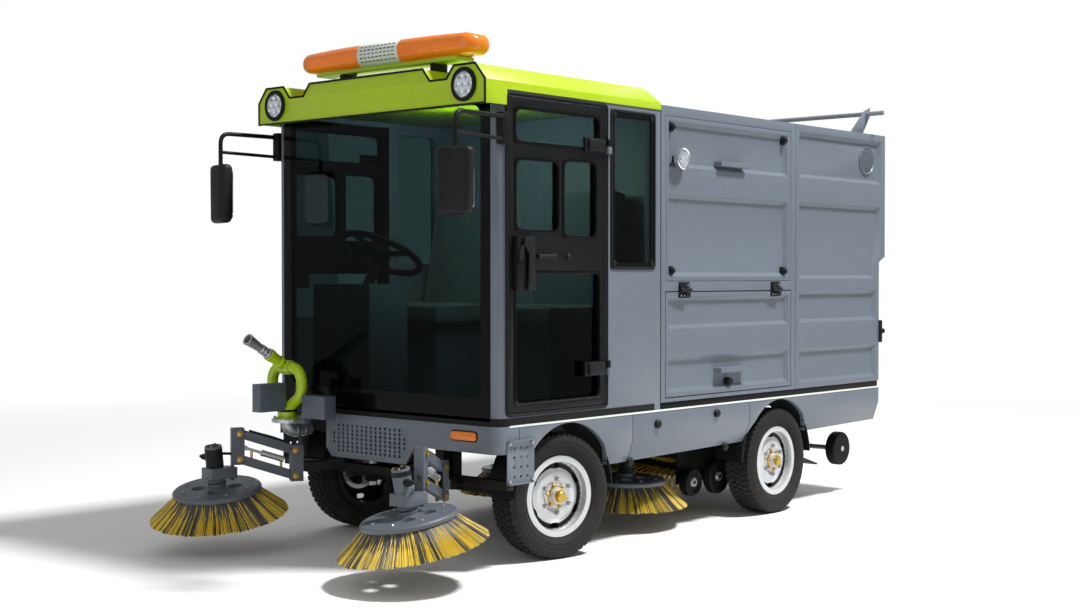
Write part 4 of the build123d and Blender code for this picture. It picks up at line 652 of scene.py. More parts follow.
def joined(name: str, pieces: list[bpy.types.Object]) -> bpy.types.Object:
    """Join pieces of one finish into one object.

    Args:
        name: name of the result.
        pieces: what is joined.

    Returns:
        The joined object.
    """
    clear_selection()
    for piece in pieces:
        piece.select_set(True)
    bpy.context.view_layer.objects.active = pieces[0]
    if len(pieces) > 1:
        bpy.ops.object.join()
    result = bpy.context.active_object
    result.name = name
    result.data.name = name
    return result


def repeated(name: str, piece: bpy.types.Object, places: list[Matrix]) -> bpy.types.Object:
    """Copies of a piece at each place, joined; the first piece itself is used up.

    Args:
        name: name of the result.
        piece: the piece modelled once, about its own origin.
        places: where each copy goes.

    Returns:
        The joined copies.
    """
    copies = []
    for place in places:
        copy = bpy.data.objects.new(name, piece.data.copy())
        bpy.context.scene.collection.objects.link(copy)
        copy.data.transform(place)
        copies.append(copy)
    bpy.data.objects.remove(piece)
    return joined(name, copies)


def dress(piece: bpy.types.Object, finish: Finish, body: str = "chassis") -> bpy.types.Object:
    """Give a piece its finish and let it ride on a body.

    Args:
        piece: the finished mesh.
        finish: its material.
        body: the body it moves with.

    Returns:
        The piece.
    """
    piece.data.materials.clear()
    piece.data.materials.append(finish.material())
    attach(piece, body)
    log.info("%s: %d faces on %s", piece.name, len(piece.data.polygons), body)
    return piece


def skin(node: str, finish: Finish, edge: float = 0.003, body: str = "chassis",
         segments: int = 2, merge: bool = True) -> bpy.types.Object:
    """Copy of a CAD node with softened edges that stands for it.

    Args:
        node: the CAD node.
        finish: its material.
        edge: width of the softened edges.
        body: the body it moves with.
        segments: steps in each softened edge.
        merge: merge flat triangles to whole faces first.

    Returns:
        The finished skin.
    """
    mesh = frame["nodes"][node].data.copy()
    piece = bpy.data.objects.new(f"{node}_skin", mesh)
    bpy.context.scene.collection.objects.link(piece)
    pick(piece)
    bpy.ops.mesh.customdata_custom_splitnormals_clear()
    bpy.ops.object.mode_set(mode="EDIT")
    bpy.ops.mesh.select_all(action="SELECT")
    bpy.ops.mesh.remove_doubles(threshold=1e-5)
    if merge:
        bpy.ops.mesh.dissolve_limited(angle_limit=math.radians(0.5))
    bpy.ops.object.mode_set(mode="OBJECT")
    apply_bevel(piece, edge, segments)
    settle(piece)
    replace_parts(piece, node)
    return dress(piece, finish, body)


def coat(finish: Finish, *nodes: str) -> None:
    """Give CAD nodes that show as they are a finish."""
    for node in nodes:
        materials = frame["nodes"][node].data.materials
        materials.clear()
        materials.append(finish.material())


def paint(piece: bpy.types.Object, finishes: list[Finish], choose: Callable[[Vector], int]) -> None:
    """Give a mesh at its place several finishes.

    Args:
        piece: the mesh.
        finishes: what its faces can have.
        choose: index of the finish for a face's middle.
    """
    piece.data.materials.clear()
    for finish in finishes:
        piece.data.materials.append(finish.material())
    for face in piece.data.polygons:
        face.material_index = choose(face.center)


def side_plane(side: int, x: float) -> Matrix:
    """Plane on a side of the vehicle: local X is the station, local Y is height, local Z is outward.

    Args:
        side: 1 for the left, -1 for the right.
        x: distance from the vehicle's middle.

    Returns:
        Matrix from the plane to the vehicle.
    """
    across = Vector((0, 1, 0))
    up = Vector((0, 0, 1))
    turn = Matrix((across, up, across.cross(up))).transposed().to_4x4()
    place = Matrix.Translation((side * x, CAB_FACE, 0)) @ turn
    return place @ Matrix.Scale(side, 4, (0, 0, 1))


def front_plane(station: float) -> Matrix:
    """Plane on the front: local X is the vehicle's X, local Y is height, local Z points forward."""
    turn = Matrix(((1, 0, 0), (0, 0, 1), (0, -1, 0))).transposed().to_4x4()
    return Matrix.Translation((0, at(station), 0)) @ turn


@dataclass
class Studio:
    """Floor, light and the camera at the photograph's angle."""

    eye: Point = (5.1291, -6.0524, 1.2644)
    yaw: float = 41.213
    pitch: float = -1.0475
    focal_px: float = 1526.19
    image_px: int = 1080
    sensor_mm: float = 36.0
    ambient: float = 0.36
    fade: Pair = (3.0, 9.0)

    def build(self) -> None:
        """Add the floor, the lamps, the sky and the camera."""
        scene = bpy.context.scene
        scene.view_settings.view_transform = "Standard"
        clear_selection()
        bpy.ops.mesh.primitive_circle_add(vertices=96, radius=40.0, fill_type="NGON", location=(0, 0, -0.001))
        floor = settle(bpy.context.active_object)
        floor.name = "studio_floor"
        floor.data.materials.append(self._floor_material())
        self._lamp("key", (4.6, 1.8, 9.6), 1.3, 1500)
        self._lamp("front_fill", (1.0, -8.0, 3.0), 6.0, 75)
        self._lamp("rear_fill", (-5.0, 6.5, 4.0), 6.0, 150)
        self._cab_light()
        self._sky(scene)
        lens = bpy.data.cameras.new("camera")
        lens.sensor_width = self.sensor_mm
        lens.lens = self.focal_px / self.image_px * self.sensor_mm
        camera = bpy.data.objects.new("camera", lens)
        scene.collection.objects.link(camera)
        camera.location = self.eye
        camera.rotation_euler = (math.radians(90 + self.pitch), 0, math.radians(self.yaw))
        scene.camera = camera

    def _floor_material(self) -> bpy.types.Material:
        """Pale floor that fades into the white backdrop away from the vehicle."""
        made = FLOOR.material()
        tree = made.node_tree
        place = add_node(tree, "ShaderNodeTexCoord").outputs["Object"]
        away = add_node(tree, "ShaderNodeVectorMath", {"operation": "LENGTH"}, {0: place})
        start, end = self.fade
        share = add_node(tree, "ShaderNodeMapRange", {1: start, 2: end}, {0: away.outputs["Value"]})
        seen = add_node(tree, "ShaderNodeLightPath").outputs["Is Camera Ray"]
        strength = add_node(tree, "ShaderNodeMapRange", {3: self.ambient, 4: 1.0}, {0: seen})
        white = add_node(tree, "ShaderNodeEmission", links={"Strength": strength.outputs[0]})
        near = tree.nodes["Principled BSDF"].outputs[0]
        mixed = add_node(tree, "ShaderNodeMixShader",
                         links={0: share.outputs[0], 1: near, 2: white.outputs[0]})
        tree.links.new(mixed.outputs[0], tree.nodes["Material Output"].inputs[0])
        return made

    @staticmethod
    def _lamp(name: str, place: Point, size: float, power: float) -> None:
        """Add one soft square lamp that faces the vehicle's middle.

        Args:
            name: lamp name.
            place: where it stands.
            size: its side in metres.
            power: its power in watts.
        """
        light = bpy.data.lights.new(name, "AREA")
        light.shape = "SQUARE"
        light.size = size
        light.energy = power
        lamp = bpy.data.objects.new(name, light)
        bpy.context.scene.collection.objects.link(lamp)
        lamp.location = place
        aim = Vector((0, 0, 1.1)) - Vector(place)
        lamp.rotation_euler = aim.to_track_quat("-Z", "Y").to_euler()

    @staticmethod
    def _cab_light() -> None:
        """Add a soft hidden light under the cab's roof, so that the inside shows through the tinted glass."""
        light = bpy.data.lights.new("cab_light", "POINT")
        light.energy = 60.0
        light.shadow_soft_size = 0.2
        lamp = bpy.data.objects.new("cab_light", light)
        bpy.context.scene.collection.objects.link(lamp)
        lamp.location = (0.1, at(0.45), 1.9)
        lamp.visible_camera = False
        lamp.visible_transmission = False
        lamp.visible_glossy = False

    def _sky(self, scene: bpy.types.Scene) -> None:
        """White backdrop for the camera and through glass, soft light for the rest.

        Args:
            scene: the scene that gets the sky.
        """
        world = bpy.data.worlds.new("studio_sky")
        scene.world = world
        world.use_nodes = True
        tree = world.node_tree
        path = add_node(tree, "ShaderNodeLightPath")
        seen = add_node(tree, "ShaderNodeMath", {"operation": "MAXIMUM"},
                        {0: path.outputs["Is Camera Ray"], 1: path.outputs["Is Transmission Ray"]})
        strength = add_node(tree, "ShaderNodeMapRange", {3: self.ambient, 4: 1.0}, {0: seen.outputs[0]})
        tree.links.new(strength.outputs[0], tree.nodes["Background"].inputs["Strength"])
        tree.nodes["Background"].inputs["Color"].default_value = (1, 1, 1, 1)


@dataclass
class CabFront:
    """Glass edges, a black foot band with painted shadow, and trim lines of the cab."""

    screen_half: float = 0.6835
    clear_half: float = 0.628
    screen_low: float = 0.6405
    screen_top: float = 2.0455
    clear_low: float = 0.742
    clear_top: float = 2.0
    band_low: float = 0.6215
    band_top: float = 0.655
    corner: float = 0.057
    cab_length: float = 1.13
    line_z: Pair = (0.6145, 0.6235)

    def build(self) -> None:
        """Model and dress all pieces of the cab's outside."""
        skin("cab_shell", BODY, 0.004)
        coat(GLASS, "cab_glass")
        edge = border(
            "screen_edge",
            rounded((-self.screen_half, self.screen_low), (self.screen_half, self.screen_top), 0.004),
            rounded((-self.clear_half, self.clear_low), (self.clear_half, self.clear_top), 0.05),
            0.0016, front_plane(-0.0002),
        )
        dress(edge, FRIT)
        # Black band round the cab's foot: the black deck edge, with the shadow of the gap above it painted
        # in.
        band = border(
            "cab_foot_band_shadow", self._outline(0.0018), self._outline(-0.0015), self.band_top - self.band_low,
            Matrix.Translation((0, 0, self.band_low)),
        )
        dress(band, BLACK)
        lines = []
        for label, side in SIDES:
            low, top = self.line_z
            lines.append(block(f"white_line_{label}", (side * (HALF_W - 0.001), at(self.corner), low),
                               (side * (HALF_W + 0.0025), at(REAR_FACE), top), 0.0008))
        dress(joined("white_lines", lines), WHITE)
        self._quarter_windows()

    def _outline(self, grow: float) -> list[Pair]:
        """Plan outline of the cab with rounded corners.

        Args:
            grow: how far it lies outside the cab's faces.

        Returns:
            Points round the outline.
        """
        half = HALF_W + grow
        return rounded((-half, at(-grow)), (half, at(self.cab_length + grow)), self.corner + grow, 7)

    def _quarter_windows(self) -> None:
        """Black edges, ridges and round bolts of the quarter windows."""
        low, high = (0.748, 1.297), (1.086, 2.034)
        inset = 0.026
        knob = [(0.014, 0), (0.014, 0.003), (0.011, 0.008), (0.005, 0.0105)]
        edges, ridges, bolts = [], [], []
        for label, side in SIDES:
            plane = side_plane(side, HALF_W - 0.0002)
            outer = rounded(low, high, 0.018)
            inner = rounded((low[0] + 0.03, low[1] + 0.03), (high[0] - 0.03, high[1] - 0.03), 0.03)
            edges.append(border(f"quarter_edge_{label}", outer, inner, 0.0016, plane))
            path = [plane @ Vector((s, z, 0.002)) for s, z in rounded(
                (low[0] + 0.004, low[1] + 0.004), (high[0] - 0.004, high[1] - 0.004), 0.016)]
            ridges.append(tube(f"quarter_ridge_{label}", path, 0.006, closed=True))
            for s in (low[0] + inset, high[0] - inset):
                for z in (low[1] + inset, high[1] - inset):
                    spot = plane @ Vector((s, z, 0.001))
                    bolts.append(turned("quarter_bolt", knob, spot, (side, 0, 0), 20))
        dress(joined("quarter_edges", edges), FRIT)
        dress(joined("quarter_ridges", ridges), RUBBER)
        dress(joined("quarter_bolts", bolts), PLASTIC)


@dataclass
class Roof:
    """Lime canopy, its edge trim, head lamps and the beacon bar."""

    front: float = -0.1
    half: float = 0.747
    low: float = 1.991
    side_top: float = 2.092
    top: float = 2.161
    notch: float = 2.106
    lamp: Pair = (0.625, 2.076)
    lamp_r: float = 0.066
    foot_h: float = 0.062
    white: float = 0.135

    def build(self) -> None:
        """Model and dress the roof."""
        skin("roof_canopy", LIME, 0.004)
        half = [(self.half, self.low), (self.half, self.side_top), (0.69, self.top), (0.565, self.top),
                (0.52, self.notch), (0.42, self.notch), (0.375, self.top)]
        outline = half + [(-x, z) for x, z in reversed(half)]
        path = [(x, at(self.front), z) for x, z in outline]
        dress(tube("fascia_trim", path, 0.0055, closed=True), RUBBER)
        self._head_lamps()
        self._beacon()

    def _head_lamps(self) -> None:
        """Round lamps with black bezels, bright bowls, cells and clear lenses."""
        bezels, bowls, lenses, cells = [], [], [], []
        r = self.lamp_r
        ahead = (0, -1, 0)
        bezel = [(r + 0.007, -0.004), (r + 0.007, 0.006), (r, 0.012), (r - 0.008, 0.011), (r - 0.01, -0.004)]
        bowl = [(0.01, -0.036), (r * 0.6, -0.03), (r - 0.009, -0.004), (r - 0.009, -0.002)]
        lens = [(r - 0.009, 0.004), (r - 0.012, 0.009), (r * 0.6, 0.012), (r * 0.2, 0.013)]
        cell = [(0.015, -0.012), (0.015, 0.0), (0.011, 0.003), (0.004, 0.004)]
        spots = [(0.0, 0.0)] + [(0.036 * math.cos(k * math.tau / 6), 0.036 * math.sin(k * math.tau / 6))
                                for k in range(6)]
        for _, side in SIDES:
            centre = (side * self.lamp[0], at(self.front), self.lamp[1])
            bezels.append(ring("lamp_bezel", bezel, centre, ahead))
            bowls.append(turned("lamp_bowl", bowl, centre, ahead))
            lenses.append(turned("lamp_lens", lens, centre, ahead))
            for across, up in spots:
                spot = (centre[0] + across, centre[1], centre[2] + up)
                cells.append(turned("lamp_cell", cell, spot, ahead, 16))
        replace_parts(dress(joined("lamp_bezels", bezels), RUBBER), "lamps")
        dress(joined("lamp_bowls", bowls), CHROME)
        dress(joined("lamp_cells", cells), CHROME)
        dress(joined("lamp_lenses", lenses), LENS)

    def _beacon(self) -> None:
        """Beacon bar: tapered ribbed amber ends over bowls, white slotted middle, lime base, black feet."""
        low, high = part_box("beacon_bar")
        half_y, half_z = (high.y - low.y) / 2, (high.z - low.z - self.foot_h) / 2
        centre = Vector((0, (low.y + high.y) / 2, high.z - half_z))
        outline = rounded((-half_y, -half_z), (half_y, half_z), half_z * 0.9, 7)
        bowl = [(0.02, 0), (0.034, 0.012), (0.012, 0.05), (0.005, 0.056)]
        ambers, bowls = [], []
        for _, side in SIDES:
            place = heading(centre, (side, 0, 0), (0, 1, 0))
            ambers.append(drawn("amber_end", outline, self._amber_sections(high.x), place))
            for step in range(4):
                spot = (side * (0.2 + step * 0.085), centre.y, low.z + self.foot_h + 0.006)
                bowls.append(turned("beacon_bowl", bowl, spot, UP, 16))
        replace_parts(dress(joined("beacon_ends", ambers), AMBER), "beacon_bar")
        dress(joined("beacon_bowls", bowls), CHROME)
        place = heading(centre, (1, 0, 0), (0, 1, 0))
        end = self.white
        sections = [(0.97, -end), (0.995, -end + 0.004), (0.995, end - 0.004), (0.97, end)]
        dress(drawn("beacon_middle", outline, sections, place), WHITE)
        self._beacon_slots(low.y, centre.z, half_z)
        bottom = low.z + self.foot_h
        base = block("beacon_base", (-0.46, centre.y - 0.062, bottom - 0.016),
                     (0.46, centre.y + 0.062, bottom + 0.006), 0.005)
        dress(base, LIME)
        feet = []
        for _, side in SIDES:
            feet.append(block("beacon_foot", (side * 0.262, centre.y - 0.07, low.z),
                              (side * 0.338, centre.y + 0.07, low.z + 0.01), 0.003))
            feet.append(block("beacon_foot", (side * 0.288, centre.y - 0.045, low.z),
                              (side * 0.312, centre.y + 0.045, bottom), 0.004))
        dress(joined("beacon_feet", feet), PLASTIC)

    @staticmethod
    def _beacon_slots(face: float, level: float, half_z: float) -> None:
        """Rows of black blocks over the rounded front of the white middle: painted shade standing for slots.

        Args:
            face: y of the middle's foremost line.
            level: height of its centre line.
            half_z: half its height.
        """
        slots = []
        bulge = half_z * 0.9
        for row in range(-2, 3):
            lift = row * 0.0165
            set_back = bulge - math.sqrt(max(0.0, bulge ** 2 - max(0.0, abs(lift) - half_z * 0.1) ** 2))
            y = face + set_back
            for column in range(9):
                x = -0.104 + column * 0.026
                # Each slot is a black block on the face: painted shade in place of an opening.
                slots.append(block("beacon_slot", (x - 0.009, y, level + lift - 0.0028),
                                   (x + 0.009, y + 0.004, level + lift + 0.0028), 0.001, 1))
        dress(joined("beacon_slots", slots), PLASTIC)

    def _amber_sections(self, tip: float) -> list[Pair]:
        """Scales along an amber end: fine ribs, a slow taper and a domed tip.

        Args:
            tip: x of the end's tip.

        Returns:
            Scale and x pairs from the white middle to the tip.
        """
        sections = []
        steps = 30
        for step in range(steps + 1):
            share = step / steps
            scale = 1.0 - 0.2 * share ** 2 - (0.014 if step % 2 else 0.0)
            if share > 0.86:
                scale *= math.sqrt(max(0.05, 1.0 - ((share - 0.86) / 0.14) ** 2))
            sections.append((scale, self.white + (tip - self.white) * share))
        return sections


@dataclass
class Doors:
    """Black cab doors with rounded panes, seals, hinges and handles."""

    panes: tuple = ((0.093, 0.671, 1.839, 1.987), (0.096, 0.383, 1.459, 1.770),
                    (0.414, 0.646, 1.438, 1.781), (0.093, 0.671, 0.715, 1.282))
    opening: tuple = (0.047, 0.716, 0.672, 2.036)
    hinges: Pair = (0.845, 1.857)
    grip: Point = (0.215, 0.330, 1.35)
    button: Pair = (0.446, 1.35)

    def build(self) -> None:
        """Model and dress both doors and the seals round them."""
        seals = []
        for label, side in SIDES:
            body = f"cab_door_{label}"
            skin(f"door_{label}", BLACK, 0.004, body)
            coat(GLASS, f"door_panes_{label}")
            plane = side_plane(side, HALF_W - 0.0005)
            frames = []
            for front, rear, low, top in self.panes:
                outer = rounded((front - 0.006, low - 0.006), (rear + 0.006, top + 0.006), 0.02)
                inner = rounded((front + 0.006, low + 0.006), (rear - 0.006, top - 0.006), 0.034)
                frames.append(border("pane_frame", outer, inner, 0.003, plane, 0.0008))
            dress(joined(f"pane_frames_{label}", frames), FRIT, body)
            self._handle(label, side, body)
            front, rear, low, top = self.opening
            outer = rounded((front - 0.014, low - 0.012), (rear + 0.01, top + 0.018), 0.022)
            inner = rounded((front, low), (rear, top), 0.012)
            seals.append(border("door_seal", outer, inner, 0.0035, plane, 0.001))
            path = [plane @ Vector((s, z, 0.003)) for s, z in rounded(
                (front - 0.008, low - 0.007), (rear + 0.005, top + 0.01), 0.02)]
            seals.append(tube("door_ridge", path, 0.0055, closed=True))
        dress(joined("door_seals", seals), RUBBER)

    def _handle(self, label: str, side: int, body: str) -> None:
        """Latch lever, horizontal grip, round button and strap pads of one door.

        Args:
            label: side of the vehicle.
            side: 1 for the left, -1 for the right.
            body: the door's body.
        """
        plane = side_plane(side, HALF_W)
        pieces = []
        lever = [(0.112, 1.43), (0.172, 1.436), (0.178, 1.40), (0.172, 1.25), (0.156, 1.205), (0.132, 1.205),
                 (0.140, 1.26), (0.142, 1.36), (0.112, 1.395)]
        pieces.append(plate("door_lever", lever, 0.012, plane @ Matrix.Translation((0, 0, 0.03)), 0.003))
        thumb = [(0.082, 1.372), (0.108, 1.40), (0.116, 1.39), (0.108, 1.34), (0.084, 1.33)]
        pieces.append(plate("door_thumb", thumb, 0.014, plane @ Matrix.Translation((0, 0, 0.024)), 0.003))
        front, rear, level = self.grip
        pieces.append(tube("door_grip", [plane @ Vector((s, level, 0.022)) for s in (front, rear)], 0.011))
        pieces.append(turned("grip_end", [(0.0125, 0), (0.0135, 0.004), (0.0125, 0.014), (0.008, 0.016)],
                             plane @ Vector((rear - 0.012, level, 0.022)), (0, 1, 0), 20))
        pieces.append(turned("grip_foot", [(0.012, 0), (0.010, 0.01), (0.010, 0.022)],
                             plane @ Vector((front + 0.014, level, 0)), (side, 0, 0), 16))
        pieces.append(turned("door_button", [(0.015, 0), (0.015, 0.004), (0.012, 0.009), (0.006, 0.012)],
                             plane @ Vector((*self.button, 0)), (side, 0, 0), 20))
        for level in self.hinges:
            pieces.append(block("strap_pad", plane @ Vector((0.575, level - 0.027, 0.008)),
                                plane @ Vector((0.69, level + 0.027, 0.022)), 0.006, 3))
        dress(joined(f"door_fittings_{label}", pieces), PLASTIC, body)


@dataclass
class Mirrors:
    """Mirror heads on bent tube arms."""

    head: Point = (0.776, -0.307, 1.6535)
    size: Point = (0.165, 0.064, 0.277)
    arm_z: float = 1.94
    brace_z: float = 1.845
    turn: float = 15.0

    def build(self) -> None:
        """Model and dress both mirrors in place of their plain solids."""
        blacks, backs, glasses = [], [], []
        for _, side in SIDES:
            x, station, z = self.head
            place = Matrix.Translation((side * x, at(station), z)) @ Matrix.Rotation(
                math.radians(side * self.turn), 4, "Z")
            backs.append(self._shell(place))
            width, depth, height = self.size
            glass = rounded((-width * 0.42, -height * 0.44), (width * 0.42, height * 0.44), 0.03)
            rear = Matrix(((1, 0, 0, 0), (0, 0, 1, depth * 0.5), (0, 1, 0, 0), (0, 0, 0, 1)))
            sunk = place @ rear @ Matrix.Translation((0, 0, -0.001))
            glasses.append(plate("mirror_glass", glass, 0.003, sunk))
            pad_x = side * (HALF_W + 0.012)
            blacks.append(block("mirror_pad", (side * (HALF_W - 0.02), at(-0.006), self.brace_z - 0.02),
                                (side * (HALF_W + 0.022), at(0.04), self.arm_z + 0.02), 0.004))
            arm = bent([(pad_x, at(0.01), self.arm_z), (side * x, at(station), self.arm_z),
                        (side * x, at(station), z + height * 0.42)], 0.05)
            blacks.append(tube("mirror_arm", arm, 0.0105))
            brace = [(pad_x, at(0.01), self.brace_z), (side * x, at(station), self.brace_z + 0.006)]
            blacks.append(tube("mirror_brace", brace, 0.008))
        heads = dress(joined("mirror_heads", backs), PLASTIC)
        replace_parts(heads, "mirrors")
        dress(joined("mirror_arms", blacks), BLACK)
        dress(joined("mirror_glasses", glasses), MIRROR)

    def _shell(self, place: Matrix) -> bpy.types.Object:
        """Crowned head that narrows towards its foot.

        Args:
            place: where the head goes.

        Returns:
            The finished head.
        """
        width, depth, height = self.size
        shell = block("mirror_head", (-width / 2, -depth / 2, -height / 2),
                      (width / 2, depth / 2, height / 2), 0.024, 5)
        for vertex in shell.data.vertices:
            share = 1.0 - 0.13 * max(0.0, -vertex.co.z / (height / 2))
            vertex.co.x *= share
            if vertex.co.y < 0:
                vertex.co.y *= 1.0 - 0.25 * abs(vertex.co.x / (width / 2)) ** 2
        shell.matrix_world = place
        return settle(shell, 50)


@dataclass
class HopperBox:
    """Box behind the cab: panels, catches, hinges, vents, lamps and the tail's fittings."""

    upper: tuple = (1.175, 2.292, 1.241, 2.036)
    hinges: Pair = (1.323, 2.145)
    vent: Point = (3.138, 1.933, 0.082)
    lamp: Point = (1.267, 1.834, 0.054)
    floor: float = 0.02

    def build(self) -> None:
        """Model and dress the box and its fittings."""
        paint(skin("box_body", BODY, 0.004), [BODY, PLASTIC], self._knuckle)
        skin("upper_hatches", BODY, 0.003, merge=False)
        skin("tail_door", BODY, 0.006, "tail_flap")
        for label, _ in SIDES:
            hatch = skin(f"lower_hatch_{label}", BODY, 0.004, f"hatch_{label}")
            paint(hatch, [BODY, PLASTIC], self._knuckle)
        skin("rear_rack", BODY, 0.002)
        coat(CABIN, "battery_pack")
        self._catches()
        self._hinge_leaves()
        self._vents()
        self._work_lamps()
        self._tail()

    def _knuckle(self, middle: Vector) -> int:
        """Tell the hinge knuckles, which are black, from the painted panels."""
        near = any(abs(middle.y - at(station)) < 0.06 for station in self.hinges)
        return int(near and abs(middle.x) > HALF_W - 0.001 and 1.165 < middle.z < 1.235)

    def _catches(self) -> None:
        """Black corner catches, knobs and the rear latch."""
        catch_knob = [(0.013, -0.006), (0.015, 0.004), (0.012, 0.012), (0.006, 0.014)]
        blacks = []
        for label, side in SIDES:
            plane = side_plane(side, HALF_W)
            front, rear, low, top = self.upper
            for s in (front + 0.052, rear - 0.056):
                for z in (low + 0.05, top - 0.05):
                    back = plane @ Vector((s - 0.017, z - 0.022, -self.floor - 0.004))
                    front_corner = plane @ Vector((s + 0.017, z + 0.022, -0.004))
                    blacks.append(block("corner_catch", back, front_corner, 0.004, 3))
                    spot = plane @ Vector((s, z, 0))
                    blacks.append(turned("catch_knob", catch_knob, spot, (side, 0, 0), 18))
            blacks.append(block("rear_latch", plane @ Vector((REAR_FACE, 0.878, -0.02)),
                                plane @ Vector((3.286, 1.007, 0.012)), 0.004))
            blacks.append(turned("rear_latch_knob", [(0.014, 0), (0.016, 0.008), (0.012, 0.018)],
                                 plane @ Vector((3.274, 0.945, 0.01)), (side, 0, 0), 18))
            knob = turned("hatch_knob", [(0.02, -0.024), (0.021, 0.006), (0.016, 0.016), (0.008, 0.018)],
                          plane @ Vector((1.714, 0.729, 0)), (side, 0, 0), 20)
            dress(joined(f"hatch_knob_{label}", [knob]), PLASTIC, f"hatch_{label}")
        dress(joined("box_catches", blacks), PLASTIC)

    def _hinge_leaves(self) -> None:
        """Black hinge leaves with bright screws: the upper ones on the box, the lower ones on the hatches."""
        screw = [(0.0055, 0.004), (0.0055, 0.0065), (0.003, 0.008)]
        uppers, upper_screws = [], []
        for label, side in SIDES:
            plane = side_plane(side, HALF_W)
            lowers, lower_screws = [], []
            rows = ((uppers, upper_screws, 1.207, 1.235), (lowers, lower_screws, 1.157, 1.183))
            for station in self.hinges:
                for leaves, screws, low, top in rows:
                    leaves.append(block("hinge_leaf", plane @ Vector((station - 0.043, low, -0.001)),
                                        plane @ Vector((station + 0.043, top, 0.0055)), 0.002))
                    for step in (-0.028, 0.0, 0.028):
                        spot = plane @ Vector((station + step, (low + top) / 2, 0))
                        screws.append(turned("hinge_screw", screw, spot, (side, 0, 0), 10))
            dress(joined(f"hatch_hinges_{label}", lowers), PLASTIC, f"hatch_{label}")
            dress(joined(f"hatch_screws_{label}", lower_screws), ZINC, f"hatch_{label}")
        dress(joined("box_hinges", uppers), PLASTIC)
        dress(joined("box_screws", upper_screws), ZINC)

    def _vents(self) -> None:
        """Round vents of fine pierced plate near the rear top corner, their holes black discs of painted
        shade, and the rack's bright tube.
        """
        rims, holes = [], []
        station, level, radius = self.vent
        pitch = 0.0108
        rim = [(radius, -0.002), (radius, 0.003), (radius - 0.003, 0.004), (radius - 0.006, 0.0)]
        for _, side in SIDES:
            plane = side_plane(side, HALF_W - self.floor + 0.006)
            rims.append(ring("vent_rim", rim, plane @ Vector((station, level, 0)), (side, 0, 0)))
            spots = []
            for row in range(-8, 9):
                for column in range(-8, 9):
                    s, z = (column + 0.5 * (row % 2)) * pitch, row * pitch * 0.87
                    if math.hypot(s, z) < radius - 0.011:
                        spots.append(heading(plane @ Vector((station + s, level + z, 0)), (side, 0, 0)))
            # Each hole is a flat black disc on the plate: painted shade in place of an opening.
            hole = turned("vent_hole", [(0.0036, 0), (0.0033, 0.0005)], ORIGIN, UP, 8)
            holes.append(repeated("vent_holes", hole, spots))
        dress(joined("vent_rims", rims), BODY)
        dress(joined("vent_holes", holes), BLACK)
        low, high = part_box("rear_rack")
        line = [(x, at(3.177), 2.205) for x in (low.x + 0.0005, high.x - 0.0005)]
        dress(tube("rack_tube", line, 0.0134), STEEL)

    def _work_lamps(self) -> None:
        """Bright round work lamps on short feet at the front of the upper hatches."""
        cans, lenses, cells, feet = [], [], [], []
        station, level, r = self.lamp
        can = [(0.02, 0.001), (r * 0.72, 0.003), (r * 0.93, 0.012), (r, 0.02), (r, 0.036), (r - 0.004, 0.039),
               (r - 0.008, 0.036), (r - 0.009, 0.03)]
        bowl = [(r - 0.009, 0.0305), (0.03, 0.0312), (0.01, 0.0318)]
        cell = [(0.009, 0), (0.009, 0.002), (0.004, 0.003)]
        lens = [(r - 0.0085, 0.0355), (r * 0.7, 0.0385), (0.01, 0.0395)]
        circle = 0.024
        for _, side in SIDES:
            plane = side_plane(side, HALF_W + 0.004)
            centre = plane @ Vector((station, level, 0))
            out = (side, 0, 0)
            cans.append(turned("work_lamp_can", can, centre, out))
            cells.append(turned("work_lamp_bowl", bowl, centre, out))
            for step in range(6):
                turn = step * math.tau / 6
                spot = Vector((station + circle * math.cos(turn), level + circle * math.sin(turn), 0.031))
                cells.append(turned("work_lamp_cell", cell, plane @ spot, out, 12))
            lenses.append(turned("work_lamp_lens", lens, centre, out))
            back = plane @ Vector((station - 0.014, level - 0.016, -self.floor - 0.004))
            front = plane @ Vector((station + 0.014, level + 0.016, 0.004))
            feet.append(block("work_lamp_foot", back, front, 0.003))
        dress(joined("work_lamp_cans", cans), CHROME)
        dress(joined("work_lamp_cells", cells), CHROME)
        dress(joined("work_lamp_lenses", lenses), LENS)
        dress(joined("work_lamp_feet", feet), PLASTIC)

    def _tail(self) -> None:
        """Tail lamps, tail door handle and blank number plate at the rear."""
        reds, ambers, dark = [], [], []
        rear = at(REAR_FACE)
        for _, side in SIDES:
            x0, x1 = sorted((side * 0.600, side * 0.690))
            reds.append(block("tail_lamp", (x0, rear, 0.865), (x1, rear + 0.024, 0.98), 0.006, 3))
            ambers.append(block("tail_amber", (x0, rear, 0.76), (x1, rear + 0.024, 0.860), 0.006, 3))
            dark.append(block("tail_lamp_back", (x0 - 0.006, rear - 0.001, 0.754),
                              (x1 + 0.006, rear + 0.006, 0.986), 0.003))
        dress(joined("tail_lamps", reds), RED)
        dress(joined("tail_ambers", ambers), AMBER)
        upright = Matrix(((1, 0, 0, 0), (0, 0, -1, 0), (0, 1, 0, 0), (0, 0, 0, 1)))
        place = Matrix.Translation((0, rear, 0)) @ upright @ Matrix.Scale(-1, 4, UP)
        shape = rounded((-0.26, 0.72), (0.26, 0.83), 0.012)
        dress(plate("blank_plate", shape, 0.004, place, 0.001), WHITE)
        dress(joined("tail_lamp_backs", dark), PLASTIC)
        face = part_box("tail_door")[1].y
        corners = ((-0.16, -0.004), (-0.16, 0.0035), (0.16, 0.0035), (0.16, -0.004))
        bar = bent([(x, face + out, 1.47) for x, out in corners], 0.003)
        dress(tube("tail_door_handle", bar, 0.006), PLASTIC, "tail_flap")


